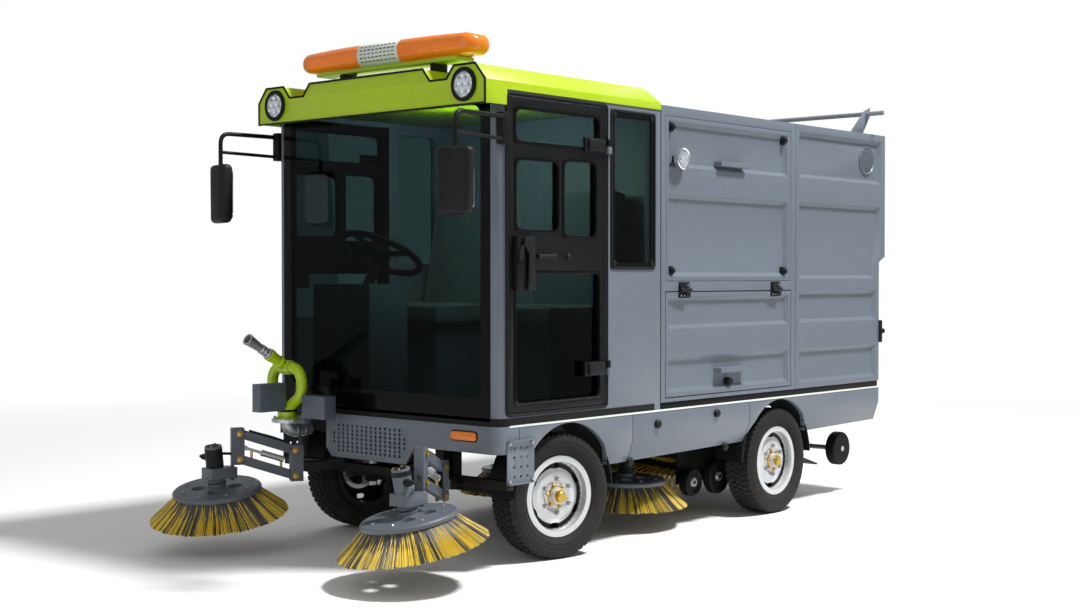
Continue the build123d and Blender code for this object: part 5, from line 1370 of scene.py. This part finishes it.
@dataclass
class LowerBody:
    """Bumper, markers, arch liners, skirts with step plates, and their small fittings."""

    axles: Pair = (0.453, 2.2)
    knobs: tuple = ((1.106, 0.556), (1.6, 0.575), (0.934, 0.389), (1.726, 0.393))

    def build(self) -> None:
        """Model and dress the lower body."""
        skin("front_bumper", BODY, 0.0025)
        skin("side_skirts", BODY, 0.0013)
        # Black plate behind the grille's openings: painted shade in place of the dark space behind them.
        shape = [(-0.335, 0.44), (0.2, 0.44), (0.2, 0.585), (-0.335, 0.585)]
        dress(plate("grille_painted_shade", shape, 0.002, front_plane(0.0115)), BLACK)
        self._arch_liners()
        self._markers()
        self._skirt_knobs()
        self._step_bolts()

    def _markers(self) -> None:
        """Amber front markers with rounded ends on dark backs."""
        ambers, backs = [], []
        for middle, station in ((0.54, -0.012), (-0.624, 0.008)):
            shape = rounded((middle - 0.075, 0.554), (middle + 0.075, 0.592), 0.014)
            back = rounded((middle - 0.08, 0.549), (middle + 0.08, 0.597), 0.017)
            ambers.append(plate("front_marker", shape, 0.011, front_plane(station), 0.004))
            backs.append(plate("marker_back", back, 0.003, front_plane(station), 0.001))
        dress(joined("front_markers", ambers), AMBER)
        dress(joined("marker_backs", backs), PLASTIC)

    def _arch_liners(self) -> None:
        """Black liners inside the wheel arches."""
        liners = []
        for station in self.axles:
            arc = [math.radians(4 + 172 * step / 24) for step in range(25)]
            outer = [(station + 0.337 * math.cos(a), 0.28 + 0.337 * math.sin(a)) for a in arc]
            inner = [(station + 0.3305 * math.cos(a), 0.28 + 0.3305 * math.sin(a)) for a in reversed(arc)]
            for _, side in SIDES:
                liners.append(plate("arch_liner", outer + inner, 0.165, side_plane(side, 0.555)))
        dress(joined("arch_liners", liners), PLASTIC)

    def _skirt_knobs(self) -> None:
        """Black round knobs that hold the skirts."""
        knobs = []
        knob = [(0.014, -0.006), (0.02, 0.004), (0.021, 0.014), (0.015, 0.021), (0.006, 0.023)]
        for _, side in SIDES:
            for station, level in self.knobs:
                inset = max(0.0, 0.505 - level) * 0.34
                centre = (side * (HALF_W - inset - 0.002), at(station), level)
                knobs.append(turned("skirt_knob", knob, centre, (side, 0, 0), 20))
        dress(joined("skirt_knobs", knobs), PLASTIC)

    def _step_bolts(self) -> None:
        """Bolts in the corners of the step plates."""
        bolts = []
        for _, side in SIDES:
            for station in (0.054, 0.199):
                for level in (0.384, 0.545):
                    bolts.append(turned("step_bolt", [(0.009, 0.0), (0.009, 0.005), (0.007, 0.0065)],
                                        (side * (HALF_W + 0.004), at(station), level), (side, 0, 0), 6))
        dress(joined("step_bolts", bolts), ZINC)


@dataclass
class Wheels:
    """Road wheels: tyres with tread, nuts and brass hubs; guide and tail wheels."""

    radius: float = 0.28
    width: float = 0.165
    flange: float = 0.182
    pitches: int = 56
    nuts: int = 6

    def build(self) -> None:
        """Model each tyre and hub about the origin and move it to its wheel."""
        for joint in frame["joints"]:
            name = joint["child"]
            if not name.startswith("wheel_"):
                continue
            corner = name.removeprefix("wheel_")
            centre = Vector(joint["pos_m"])
            axis = Vector(joint["axis"]) * (1 if joint["axis"][0] * centre.x > 0 else -1)
            place = heading(centre, axis)
            self._tyre(corner, name, place)
            self._hub(corner, name, place)
            # The rims' inboard faces get black enamel: painted shade inside the wheels.
            paint(frame["nodes"][f"rim_{corner}"], [WHEEL, BLACK],
                  lambda middle: int((middle - centre).dot(axis) < 0.03))
        for joint in frame["joints"]:
            name = joint["child"]
            if name.startswith("guide_") or name == "tail_axle":
                node = "tail_wheels" if name == "tail_axle" else name.replace("guide_", "guide_wheel_")
                hub = 0.03 if node == "tail_wheels" else 0.026
                self._small_wheel(node, Vector(joint["pos_m"]), Vector(joint["axis"]), hub)

    @staticmethod
    def _small_wheel(node: str, centre: Vector, axis: Vector, hub: float) -> None:
        """Rubber tread and bright hub of a small wheel.

        Args:
            node: the wheel's CAD node.
            centre: a point on its axle.
            axis: direction of its axle.
            hub: radius of its hub.
        """
        def inside(middle: Vector) -> int:
            """Tell the hub from the tread by the distance from the axle."""
            arm = middle - centre
            return int((arm - axis * arm.dot(axis)).length < hub)
        paint(frame["nodes"][node], [RUBBER, STEEL], inside)

    def _tyre(self, corner: str, body: str, place: Matrix) -> None:
        """Carcass with ringed walls, and tread blocks round its crown.

        Args:
            corner: which wheel it is.
            body: the wheel's body.
            place: where the wheel goes.
        """
        r, half, low = self.radius, self.width / 2, self.flange + 0.001
        wall = [(0.006, 0.80), (0.018, 0.93), (0.03, 0.985), (0.034, 0.965), (0.04, 1.0), (0.052, 0.99),
                (0.06, 0.965), (0.064, 0.985), (0.078, 0.92), (0.087, 0.84)]
        side = [(low + step, half * share) for step, share in wall]
        crown = [(r - 0.0085, half * 0.66), (r - 0.0075, half * 0.3),
                 (r - 0.0075, -half * 0.3), (r - 0.0085, -half * 0.66)]
        inner = [(low, -half * 0.72), (low - 0.014, -half * 0.66),
                 (low - 0.014, half * 0.66), (low, half * 0.72)]
        profile = side + crown + [(a, -b) for a, b in reversed(side)] + inner
        carcass = ring(f"tyre_carcass_{corner}", profile, ORIGIN, UP, 72)
        blocks = []
        step = math.tau / self.pitches
        for across, length, lag in ((0.0, 0.022, 0.0), (0.030, 0.024, 0.35), (-0.030, 0.024, 0.7)):
            blocks.append(self._ring_of_blocks(across, length, lag, step, 0.0))
        for across, tilt in ((0.0565, 14.0), (-0.0565, -14.0)):
            blocks.append(self._ring_of_blocks(across, 0.024, 0.15, step, tilt))
        tyre = joined(f"tyre_{corner}_tread", [carcass, *blocks])
        tyre.data.transform(place)
        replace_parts(dress(tyre, TYRE, body), f"tyre_{corner}")

    def _ring_of_blocks(self, across: float, length: float, lag: float, step: float,
                        tilt: float) -> bpy.types.Object:
        """One ring of tread blocks at a place across the crown.

        Args:
            across: distance from the tyre's middle.
            length: length of a block across the tyre.
            lag: share of a step by which the ring starts late.
            step: angle between blocks in radians.
            tilt: lean of a shoulder block in degrees.

        Returns:
            The ring about the origin.
        """
        high = self.radius - (0.0045 if tilt else 0.0)
        half = step * high * 0.39
        start = block("tread_block", (high - 0.013, -half, -length / 2), (high, half, length / 2), 0.0018, 1)
        if tilt:
            lean = Matrix.Rotation(math.radians(tilt), 4, "Y")
            start.data.transform(Matrix.Translation((high, 0, 0)) @ lean @ Matrix.Translation((-high, 0, 0)))
        places = [Matrix.Rotation(step * (count + lag), 4, "Z") @ Matrix.Translation((0, 0, across))
                  for count in range(self.pitches)]
        return repeated("tread_ring", start, places)

    def _hub(self, corner: str, body: str, place: Matrix) -> None:
        """Brass hub with its cap, and wheel nuts on studs.

        Args:
            corner: which wheel it is.
            body: the wheel's body.
            place: where the wheel goes.
        """
        face = self.width / 2 - 0.023 - 0.018
        steps = [(0.046, -0.004), (0.046, 0.004), (0.04, 0.008), (0.034, 0.01), (0.034, 0.024),
                 (0.030, 0.027), (0.024, 0.027), (0.024, 0.042), (0.019, 0.046), (0.006, 0.046)]
        cap = [(r, face + z) for r, z in steps]
        hub = turned(f"hub_cap_{corner}", cap, ORIGIN, UP, 12)
        boss = [(0.008, face), (0.008, face + 0.008), (0.005, face + 0.01)]
        lobe = turned("hub_lobe", boss, (0.052, 0, 0), UP, 6)
        lobes = repeated("hub_lobes", lobe, round_axis(6, 0.3))
        brass = joined(f"hub_{corner}", [hub, lobes])
        brass.data.transform(place)
        dress(brass, BRASS, body)
        stud = [(0.0105, face), (0.0105, face + 0.012), (0.007, face + 0.017), (0.004, face + 0.018)]
        nut = turned("wheel_nut", stud, (0.077, 0, 0), UP, 6)
        nuts = repeated(f"wheel_nuts_{corner}", nut, round_axis(self.nuts))
        nuts.data.transform(place)
        dress(nuts, ZINC, body)


@dataclass
class Brushes:
    """Disc brushes with tufts of bristles, and the broom."""

    tip_r: float = 0.32
    drop: float = 0.122
    tufts: int = 220
    strands: int = 6
    dark_share: float = 0.42
    hole_circle: float = 0.084
    hole_r: float = 0.033
    seed: int = 11

    def build(self) -> None:
        """Model and dress the four disc brushes and the broom."""
        for joint in frame["joints"]:
            name = joint["child"]
            if name.startswith("brush_"):
                place, label = name.removeprefix("brush_").split("_")
                self._disc_brush(f"{place}_brush_{label}", name, heading(joint["pos_m"], joint["axis"]))
        self._broom()
        skin("middle_brush_drives", BLACK, 0.003)
        coat(BLACK, "broom_housing")

    def _disc_brush(self, node: str, body: str, place: Matrix) -> None:
        """One brush: pierced disc, hub, bolts, a dark conical sheet of painted shade inside the tufts, and
        two finishes of bristles.

        Args:
            node: the brush's CAD node.
            body: the brush's body.
            place: where the brush goes.
        """
        profile = [(0.05, -0.014), (0.192, -0.014), (0.2, -0.010), (0.204, -0.002), (0.203, 0.006),
                   (0.196, 0.012), (0.18, 0.0135), (0.062, 0.0135), (0.048, 0.018), (0.042, 0.02),
                   (0.042, 0.036), (0.016, 0.036)]
        disc = turned(f"{node}_disc", profile, ORIGIN, UP, 64)
        bore = [(self.hole_r, -0.03), (self.hole_r, 0.03)]
        cutters = []
        for turn in (math.radians(45 + 90 * k) for k in range(4)):
            spot = (self.hole_circle * math.cos(turn), self.hole_circle * math.sin(turn), 0)
            cutters.append(turned("cutter", bore, spot, UP, 28))
        cutter = joined("cutter", cutters)
        pick(disc)
        cut = disc.modifiers.new("holes", "BOOLEAN")
        cut.operation = "DIFFERENCE"
        cut.solver = "EXACT"
        cut.object = cutter
        bpy.ops.object.modifier_apply(modifier=cut.name)
        bpy.data.objects.remove(cutter)
        disc.data.transform(place)
        settle(disc)
        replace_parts(dress(disc, SHADED_ARM, body), node)
        bolt = turned("disc_bolt", [(0.0075, 0.011), (0.0075, 0.018), (0.005, 0.02)], (0.158, 0, 0), UP, 6)
        bolts = repeated(f"{node}_bolts", bolt, round_axis(8, math.radians(22.5)))
        bolts.data.transform(place)
        dress(bolts, ZINC, body)
        # Dark conical sheet inside the ring of tufts: painted shade among the bristles, in the dark bristles'
        # colour.
        slope = [(0.168, -0.012), (0.194, -0.012), (0.288, -0.1), (0.282, -0.104), (0.176, -0.02)]
        shade_cone = ring(f"{node}_cone", slope, ORIGIN, UP)
        shade_cone.data.transform(place)
        dress(shade_cone, DARK, body)
        self._bristles(node, body, place)

    def _bristles(self, node: str, body: str, place: Matrix) -> None:
        """Rings of splayed tufts, most of them yellow and the rest dark.

        Args:
            node: the brush's CAD node.
            body: the brush's body.
            place: where the brush goes.
        """
        chance = Random(self.seed + len(node))
        tufts: dict[str, list[Matrix]] = {"yellow": [], "dark": []}
        for lag, reach in ((0.0, 1.0), (0.33, 0.985), (0.66, 0.96)):
            for count in range(self.tufts):
                turn = (count + lag) * math.tau / self.tufts + chance.uniform(-0.02, 0.02)
                kind = "dark" if chance.random() < self.dark_share else "yellow"
                spread = Matrix.Rotation(turn, 4, "Z") @ Matrix.Scale(reach - chance.uniform(0.0, 0.025), 4)
                tufts[kind].append(spread)
        for kind, finish in (("yellow", YELLOW), ("dark", DARK)):
            mass = repeated(f"{node}_{kind}", self._tuft(Random(self.seed)), tufts[kind])
            mass.data.transform(place)
            dress(mass, finish, body)

    def _tuft(self, chance: Random) -> bpy.types.Object:
        """One tuft of straight strands from under the disc's rim to the tips.

        Args:
            chance: seeded source of the strands' spread.

        Returns:
            The tuft about the origin.
        """
        strands = []
        for _ in range(self.strands):
            root = Vector((0.188 + chance.uniform(-0.01, 0.01), chance.uniform(-0.005, 0.005), -0.008))
            tip = Vector((self.tip_r * chance.uniform(0.955, 0.995), chance.uniform(-0.009, 0.009),
                          -self.drop * chance.uniform(0.93, 0.99)))
            strands.append(tube("strand", [root, tip], 0.0015, detail=0))
        return joined("tuft", strands)

    def _broom(self) -> None:
        """Core with spiral rows of bristles in place of the plain roll."""
        joint = joint_where("child", "broom_roll")
        place = heading(joint["pos_m"], joint["axis"])
        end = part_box("broom")[1].x - 0.001
        half = 0.42
        roll = [(0.013, -end), (0.013, -half), (0.06, -half + 0.002), (0.06, half - 0.002), (0.013, half),
                (0.013, end)]
        core = turned("broom_core", roll, ORIGIN, UP, 32)
        core.data.transform(place)
        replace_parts(dress(core, BLACK, "broom_roll"), "broom")
        chance = Random(self.seed)
        strand = [tube("broom_strand", [(0.055, y, z), (0.148, y * 2.2, z * 1.6)], 0.0026, detail=0)
                  for y, z in ((-0.006, 0.0), (0.0, 0.008), (0.006, -0.006), (0.002, 0.0))]
        tuft = joined("broom_tuft", strand)
        places = []
        for row in range(8):
            for step in range(26):
                along = -half + 0.02 + step * (2 * half - 0.04) / 25
                turn = row * math.tau / 8 + along * 1.1 + chance.uniform(-0.03, 0.03)
                places.append(Matrix.Translation((0, 0, along)) @ Matrix.Rotation(turn, 4, "Z"))
        mass = repeated("broom_bristles", tuft, places)
        mass.data.transform(place)
        dress(mass, YELLOW, "broom_roll")


@dataclass
class BrushArms:
    """Links, posts, motors, pins, actuators and conduits of the front brush arms."""

    spread: float = 0.12
    motor_r: float = 0.039

    def build(self) -> None:
        """Model and dress both arms."""
        frame_skin = skin("brush_frame", BLACK, 0.003)
        paint(frame_skin, [BLACK, SHADED_ARM], lambda middle: int(middle.y < at(-0.03)))
        for label, _ in SIDES:
            skin(f"upper_link_{label}", SHADED_ARM, 0.003, f"arm_{label}")
            skin(f"lower_link_{label}", SHADED_ARM, 0.003, f"lower_arm_{label}")
            lift = joint_where("name", f"arm_{label}_lift")
            post = joint_where("name", f"post_{label}_pivot")
            spin = joint_where("child", f"brush_front_{label}")
            self._post(label, spin, post)
            self._pins(lift, post, f"post_{label}")
            self._actuator(label, lift, post)

    def _post(self, label: str, spin: dict, pivot: dict) -> None:
        """Post with its motor, the motor's cap and plug, and a conduit to the post.

        Args:
            label: side of the vehicle.
            spin: joint of the brush, on the motor's line.
            pivot: joint of the post on the upper link.
        """
        foot, axis = Vector(spin["pos_m"]), Vector(spin["axis"])
        body = f"post_{label}"
        skin(f"brush_post_{label}", SHADED_ARM, 0.003, body)
        r = self.motor_r
        reaches = [vertex.co - foot for vertex in frame["nodes"][f"brush_post_{label}"].data.vertices]
        on_motor = [reach.dot(axis) for reach in reaches if reach.cross(axis).length < r + 0.001]
        crown = foot + axis * max(on_motor)
        band = [(r + 0.0012, -0.03), (r + 0.0015, -0.028), (r + 0.0015, -0.012), (r + 0.0012, -0.01)]
        cap = [(r * 0.9, -0.008), (r * 0.88, -0.001), (r * 0.6, 0.0025), (r * 0.3, 0.003)]
        blacks = [turned("motor_band", band, crown, axis, 40), turned("motor_cap", cap, crown, axis, 40)]
        if label == "right":
            sleeve = [(r + 0.0008, -0.1), (r + 0.0014, -0.098), (r + 0.0014, -0.03), (r + 0.0008, -0.028)]
            blacks.append(turned("motor_sleeve", sleeve, crown, axis, 40))
        out = Vector((1 if label == "left" else -1, -0.3, 0)).normalized()
        seat = crown - axis * 0.055 + out * (r - 0.004)
        plug = [(0.017, 0), (0.017, 0.012), (0.013, 0.014), (0.013, 0.03), (0.008, 0.032)]
        blacks.append(turned("motor_plug", plug, seat, out, 20))
        start = seat + out * 0.03
        ahead = Vector(pivot["axis"]).cross(Vector(UP))
        ahead *= math.copysign(1.0, ahead.dot(crown - Vector(pivot["pos_m"])))
        web = Vector(pivot["pos_m"]) + ahead * 0.036
        web.z = crown.z - 0.045
        path = [start, start + out * 0.02, start + out * 0.024 + Vector((0, 0.036, 0.006)),
                web + ahead * 0.026 + Vector((out.x * 0.022, 0, 0.002)), web]
        blacks.append(tube("motor_conduit", path, 0.0065, smooth=True))
        dress(joined(f"motor_fittings_{label}", blacks), PLASTIC, body)
        bolt = turned("motor_bolt", [(0.0055, 0), (0.0055, 0.006), (0.003, 0.008)], ORIGIN, UP, 6)
        top = heading(crown + axis * 0.001, axis)
        places = [top @ turn @ Matrix.Translation((r * 0.72, 0, -0.003)) for turn in round_axis(4, 0.6)]
        dress(repeated(f"motor_bolts_{label}", bolt, places), BRASS, body)

    def _pins(self, lift: dict, post: dict, post_body: str) -> None:
        """Brass pin heads at the four pivots, on the cheeks that carry them.

        Args:
            lift: joint of the upper link on the frame.
            post: joint of the post on the upper link.
            post_body: the post's body.
        """
        pin = [(0.016, 0.0), (0.016, 0.003), (0.0125, 0.0035), (0.0125, 0.010), (0.009, 0.012)]
        across = Vector(lift["axis"])
        for joint, body in ((lift, "chassis"), (post, post_body)):
            heads = []
            for drop in (0.0, self.spread):
                centre = Vector(joint["pos_m"]) - Vector((0, 0, drop))
                for way in (-1, 1):
                    start = centre + across * way * 0.021
                    heads.append(turned("pin_head", pin, start, across * way, 6))
            dress(joined(f"pin_heads_{joint['name']}", heads), BRASS, body)

    def _actuator(self, label: str, lift: dict, post: dict) -> None:
        """Bright actuator between the links, on the lower one, and a conduit along the upper one.

        Args:
            label: side of the vehicle.
            lift: joint of the upper link on the frame.
            post: joint of the post on the upper link.
        """
        near, far = Vector(lift["pos_m"]), Vector(post["pos_m"])
        line = far - near
        along = line.normalized()
        middle = near - Vector((0, 0, self.spread * 0.5))
        body = f"lower_arm_{label}"
        barrel = [(0.010, 0.0), (0.016, 0.003), (0.016, 0.012), (0.0145, 0.014), (0.0145, 0.1),
                  (0.016, 0.102), (0.016, 0.112), (0.009, 0.115)]
        cylinder = turned("actuator", barrel, middle + line * 0.2, along, 28)
        stem = [(0.007, 0.0), (0.007, 0.07), (0.011, 0.072), (0.011, 0.09), (0.006, 0.092)]
        rod = turned("actuator_rod", stem, middle + line * 0.2 + along * 0.112, along, 20)
        dress(joined(f"actuator_{label}", [cylinder, rod]), STEEL, body)
        lugs = []
        for share in (0.25, 0.78):
            spot = middle + line * share
            foot = spot - Vector((0, 0, 0.042))
            lugs.append(tube("actuator_lug", [foot, spot - Vector((0, 0, 0.008))], 0.0065))
        dress(joined(f"actuator_lugs_{label}", lugs), BRASS, body)
        lift_up = Vector((0, 0, 0.026))
        path = [near + line * 0.18 + lift_up, near + line * 0.4 + lift_up * 1.15,
                near + line * 0.62 + lift_up, near + line * 0.82 + lift_up]
        dress(tube(f"arm_conduit_{label}", path, 0.006, smooth=True), HOSE, f"arm_{label}")


@dataclass
class Cannon:
    """Water cannon: base, turning head, tilting barrel."""

    elevation: float = 31.0
    flange_z: float = 0.576
    flange_r: float = 0.072
    drum_r: float = 0.045
    drum_h: float = 0.052
    feed_z: float = 0.534

    def build(self) -> None:
        """Model and dress the cannon."""
        axis = Vector(joint_where("name", "cannon_turn")["pos_m"])
        self._base(axis)
        self._head(axis)
        self._barrel()

    def _base(self, axis: Vector) -> None:
        """Grey turning motor, and a bright flange and feed pipe with bolts and clamp rings.

        Args:
            axis: a point on the line the head turns about.
        """
        r, drum = self.flange_r, self.drum_r
        centre = (axis.x, axis.y, self.flange_z)
        base = skin("cannon_base", STEEL, 0.003)
        paint(base, [STEEL, SHADED_ARM], lambda middle: int(middle.x > axis.x + r + 0.002))
        collar = [(drum + 0.004, 0.016), (r - 0.01, 0.0172), (r - 0.012, 0.0225), (drum + 0.004, 0.023)]
        dress(turned("cannon_collar", collar, centre, UP, 40), LIME)
        stud = [(0.0065, 0.0), (0.0065, 0.008), (0.0045, 0.011)]
        bolt = turned("flange_bolt", stud, (r - 0.007, 0, 0.0165), UP, 6)
        places = [Matrix.Translation(centre) @ turn for turn in round_axis(6, 0.4)]
        dress(repeated("flange_bolts", bolt, places), ZINC)
        wide = [(0.027, -0.006), (0.033, -0.006), (0.033, 0.006), (0.027, 0.006)]
        slim = [(0.027, -0.006), (0.0325, -0.006), (0.0325, 0.006), (0.027, 0.006)]
        rings = [ring("clamp_ring", wide, (axis.x, axis.y, self.flange_z - 0.012), UP, 36)]
        for step in (0.052, 0.1):
            rings.append(ring("clamp_ring", slim, (axis.x, axis.y + step, self.feed_z), (0, 1, 0), 36))
        dress(joined("clamp_rings", rings), ZINC)

    def _head(self, axis: Vector) -> None:
        """Lime drum and pipes, a black band, and the grey gear box ahead of them.

        Args:
            axis: a point on the line the head turns about.
        """
        head = skin("cannon_head", LIME, 0.003, "cannon_turret")
        top = self.flange_z + 0.017 + self.drum_h
        r = self.drum_r

        def boxed(middle: Vector) -> int:
            """Tell the grey gear box from the lime drum and pipes."""
            away = math.hypot(middle.x - axis.x, middle.y - axis.y)
            return int(middle.y < axis.y - 0.03 and (middle.z > top + 0.005 or away > r + 0.002))

        paint(head, [LIME, SHADED_ARM], boxed)
        band = [(r - 0.002, 0.0), (r + 0.003, 0.002), (r + 0.003, 0.011), (r - 0.002, 0.013)]
        belt = ring("drum_band", band, (axis.x, axis.y, top - 0.02), UP, 40)
        dress(belt, BLACK, "cannon_turret")

    def _barrel(self) -> None:
        """Lime knuckle and barrel with a bright stepped nozzle that flares at its mouth."""
        pin = Vector(joint_where("name", "cannon_tilt")["pos_m"])
        rise = math.radians(self.elevation)
        aim = Vector((0, -math.cos(rise), math.sin(rise)))
        body = [(0.024, 0.0), (0.025, 0.04), (0.031, 0.045), (0.031, 0.057), (0.026, 0.061), (0.026, 0.1),
                (0.03, 0.104), (0.03, 0.126), (0.02, 0.13)]
        barrel = turned("barrel_body", body, pin, aim, 32)
        round_pin = [(0.02, -0.032), (0.03, -0.032), (0.034, -0.028), (0.034, 0.028), (0.03, 0.032),
                     (0.02, 0.032)]
        knuckle = turned("barrel_knuckle", round_pin, pin, Vector((1, 0, 0)), 32)
        lime = joined("cannon_barrel_lime", [barrel, knuckle])
        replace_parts(dress(lime, LIME, "cannon_barrel"), "cannon_nozzle")
        collars = [(0.018, 0.124), (0.026, 0.126), (0.026, 0.138), (0.0205, 0.141)]
        for start in (0.152, 0.172):
            collars += [(0.0205, start), (0.0235, start + 0.002), (0.0235, start + 0.008),
                        (0.0205, start + 0.01)]
        collars += [(0.0205, 0.2), (0.0225, 0.21), (0.0265, 0.258), (0.0285, 0.262), (0.0285, 0.27),
                    (0.0205, 0.27), (0.0185, 0.24), (0.018, 0.2)]
        dress(turned("nozzle_tube", collars, pin, aim, 36), STEEL, "cannon_barrel")


@dataclass
class Cabin:
    """Seats, console and pedals inside the cab."""

    voxel: float = 0.009
    pressure: float = 4.0
    most: float = 0.012
    frames: int = 20
    wheel_z: float = 1.25

    def build(self) -> None:
        """Model and dress the inside."""
        coat(CABIN, "seat_bases")
        console = skin("steering_console", CABIN, 0.006)
        paint(console, [CABIN, PLASTIC], lambda middle: int(middle.z > self.wheel_z))
        self._cushions()
        self._pedals()

    def _cushions(self) -> None:
        """Swell a copy of each cushion under cloth pressure, in place of the plain solids."""
        whole = bpy.data.objects.new("seat_pad", frame["nodes"]["seat_cushions"].data.copy())
        bpy.context.scene.collection.objects.link(whole)
        pick(whole)
        bpy.ops.mesh.customdata_custom_splitnormals_clear()
        bpy.ops.object.mode_set(mode="EDIT")
        bpy.ops.mesh.select_all(action="SELECT")
        bpy.ops.mesh.remove_doubles(threshold=1e-5)
        bpy.ops.mesh.separate(type="LOOSE")
        bpy.ops.object.mode_set(mode="OBJECT")
        pads = sorted(bpy.context.selected_objects, key=lambda pad: tuple(pad.data.vertices[0].co))
        for count, pad in enumerate(pads):
            pad.name = f"seat_pad_{count}"
            self._swell(pad)
            dress(settle(pad, 60), CLOTH)
        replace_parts(pads[0], "seat_cushions")

    def _swell(self, pad: bpy.types.Object) -> None:
        """Remesh one cushion, swell it and keep each point near its start.

        Args:
            pad: the cushion.
        """
        pick(pad)
        cells = pad.modifiers.new("cells", "REMESH")
        cells.mode = "VOXEL"
        cells.voxel_size = self.voxel
        bpy.ops.object.modifier_apply(modifier=cells.name)
        starts = [vertex.co.copy() for vertex in pad.data.vertices]
        cloth = pad.modifiers.new("cloth", "CLOTH")
        cloth.settings.quality = 4
        cloth.settings.use_pressure = True
        cloth.settings.uniform_pressure_force = self.pressure
        cloth.settings.effector_weights.gravity = 0.0
        cloth.point_cache.frame_start = 1
        cloth.point_cache.frame_end = self.frames
        for step in range(1, self.frames + 1):
            bpy.context.scene.frame_set(step)
        bpy.ops.object.modifier_apply(modifier=cloth.name)
        bpy.context.scene.frame_set(1)
        for vertex, start in zip(pad.data.vertices, starts):
            move = vertex.co - start
            if move.length > self.most:
                vertex.co = start + move * (self.most / move.length)
        fewer = pad.modifiers.new("fewer", "DECIMATE")
        fewer.ratio = 0.2
        bpy.ops.object.modifier_apply(modifier=fewer.name)
        soft = pad.modifiers.new("soft", "SUBSURF")
        soft.levels = 1
        bpy.ops.object.modifier_apply(modifier=soft.name)

    @staticmethod
    def _pedals() -> None:
        """Two pedals under the console on the driver's side."""
        pads = []
        for x in (-0.5, -0.34):
            pads.append(block("pedal", (x - 0.035, at(0.385), 0.715), (x + 0.035, at(0.397), 0.79), 0.004))
            pads.append(tube("pedal_arm", [(x, at(0.375), 0.86), (x, at(0.391), 0.79)], 0.008))
        dress(joined("pedals", pads), RUBBER)


class Chassis:
    """Frame, axles and the other nodes that show as they are."""

    def build(self) -> None:
        """Give the remaining CAD nodes their finishes."""
        skin("chassis_frame", BLACK, 0.003)
        # The axles get black enamel to darken the underside: painted shade. The frame members, chute and tow
        # bracket take the same black.
        coat(BLACK, "frame_members", "suction_chute", "tow_bracket", "front_axle", "rear_axle")
        coat(STEEL, "knuckle_left", "knuckle_right")


def main() -> None:
    """Build the studio and every sub-assembly."""
    logging.basicConfig(level=logging.INFO, format="%(name)s: %(message)s")
    for part in (Studio(), Chassis(), CabFront(), Roof(), Doors(), Mirrors(), HopperBox(), LowerBody(),
                 Wheels(), Brushes(), BrushArms(), Cannon(), Cabin()):
        part.build()
        log.info("built %s", type(part).__name__)


if __name__ == "__main__":
    main()
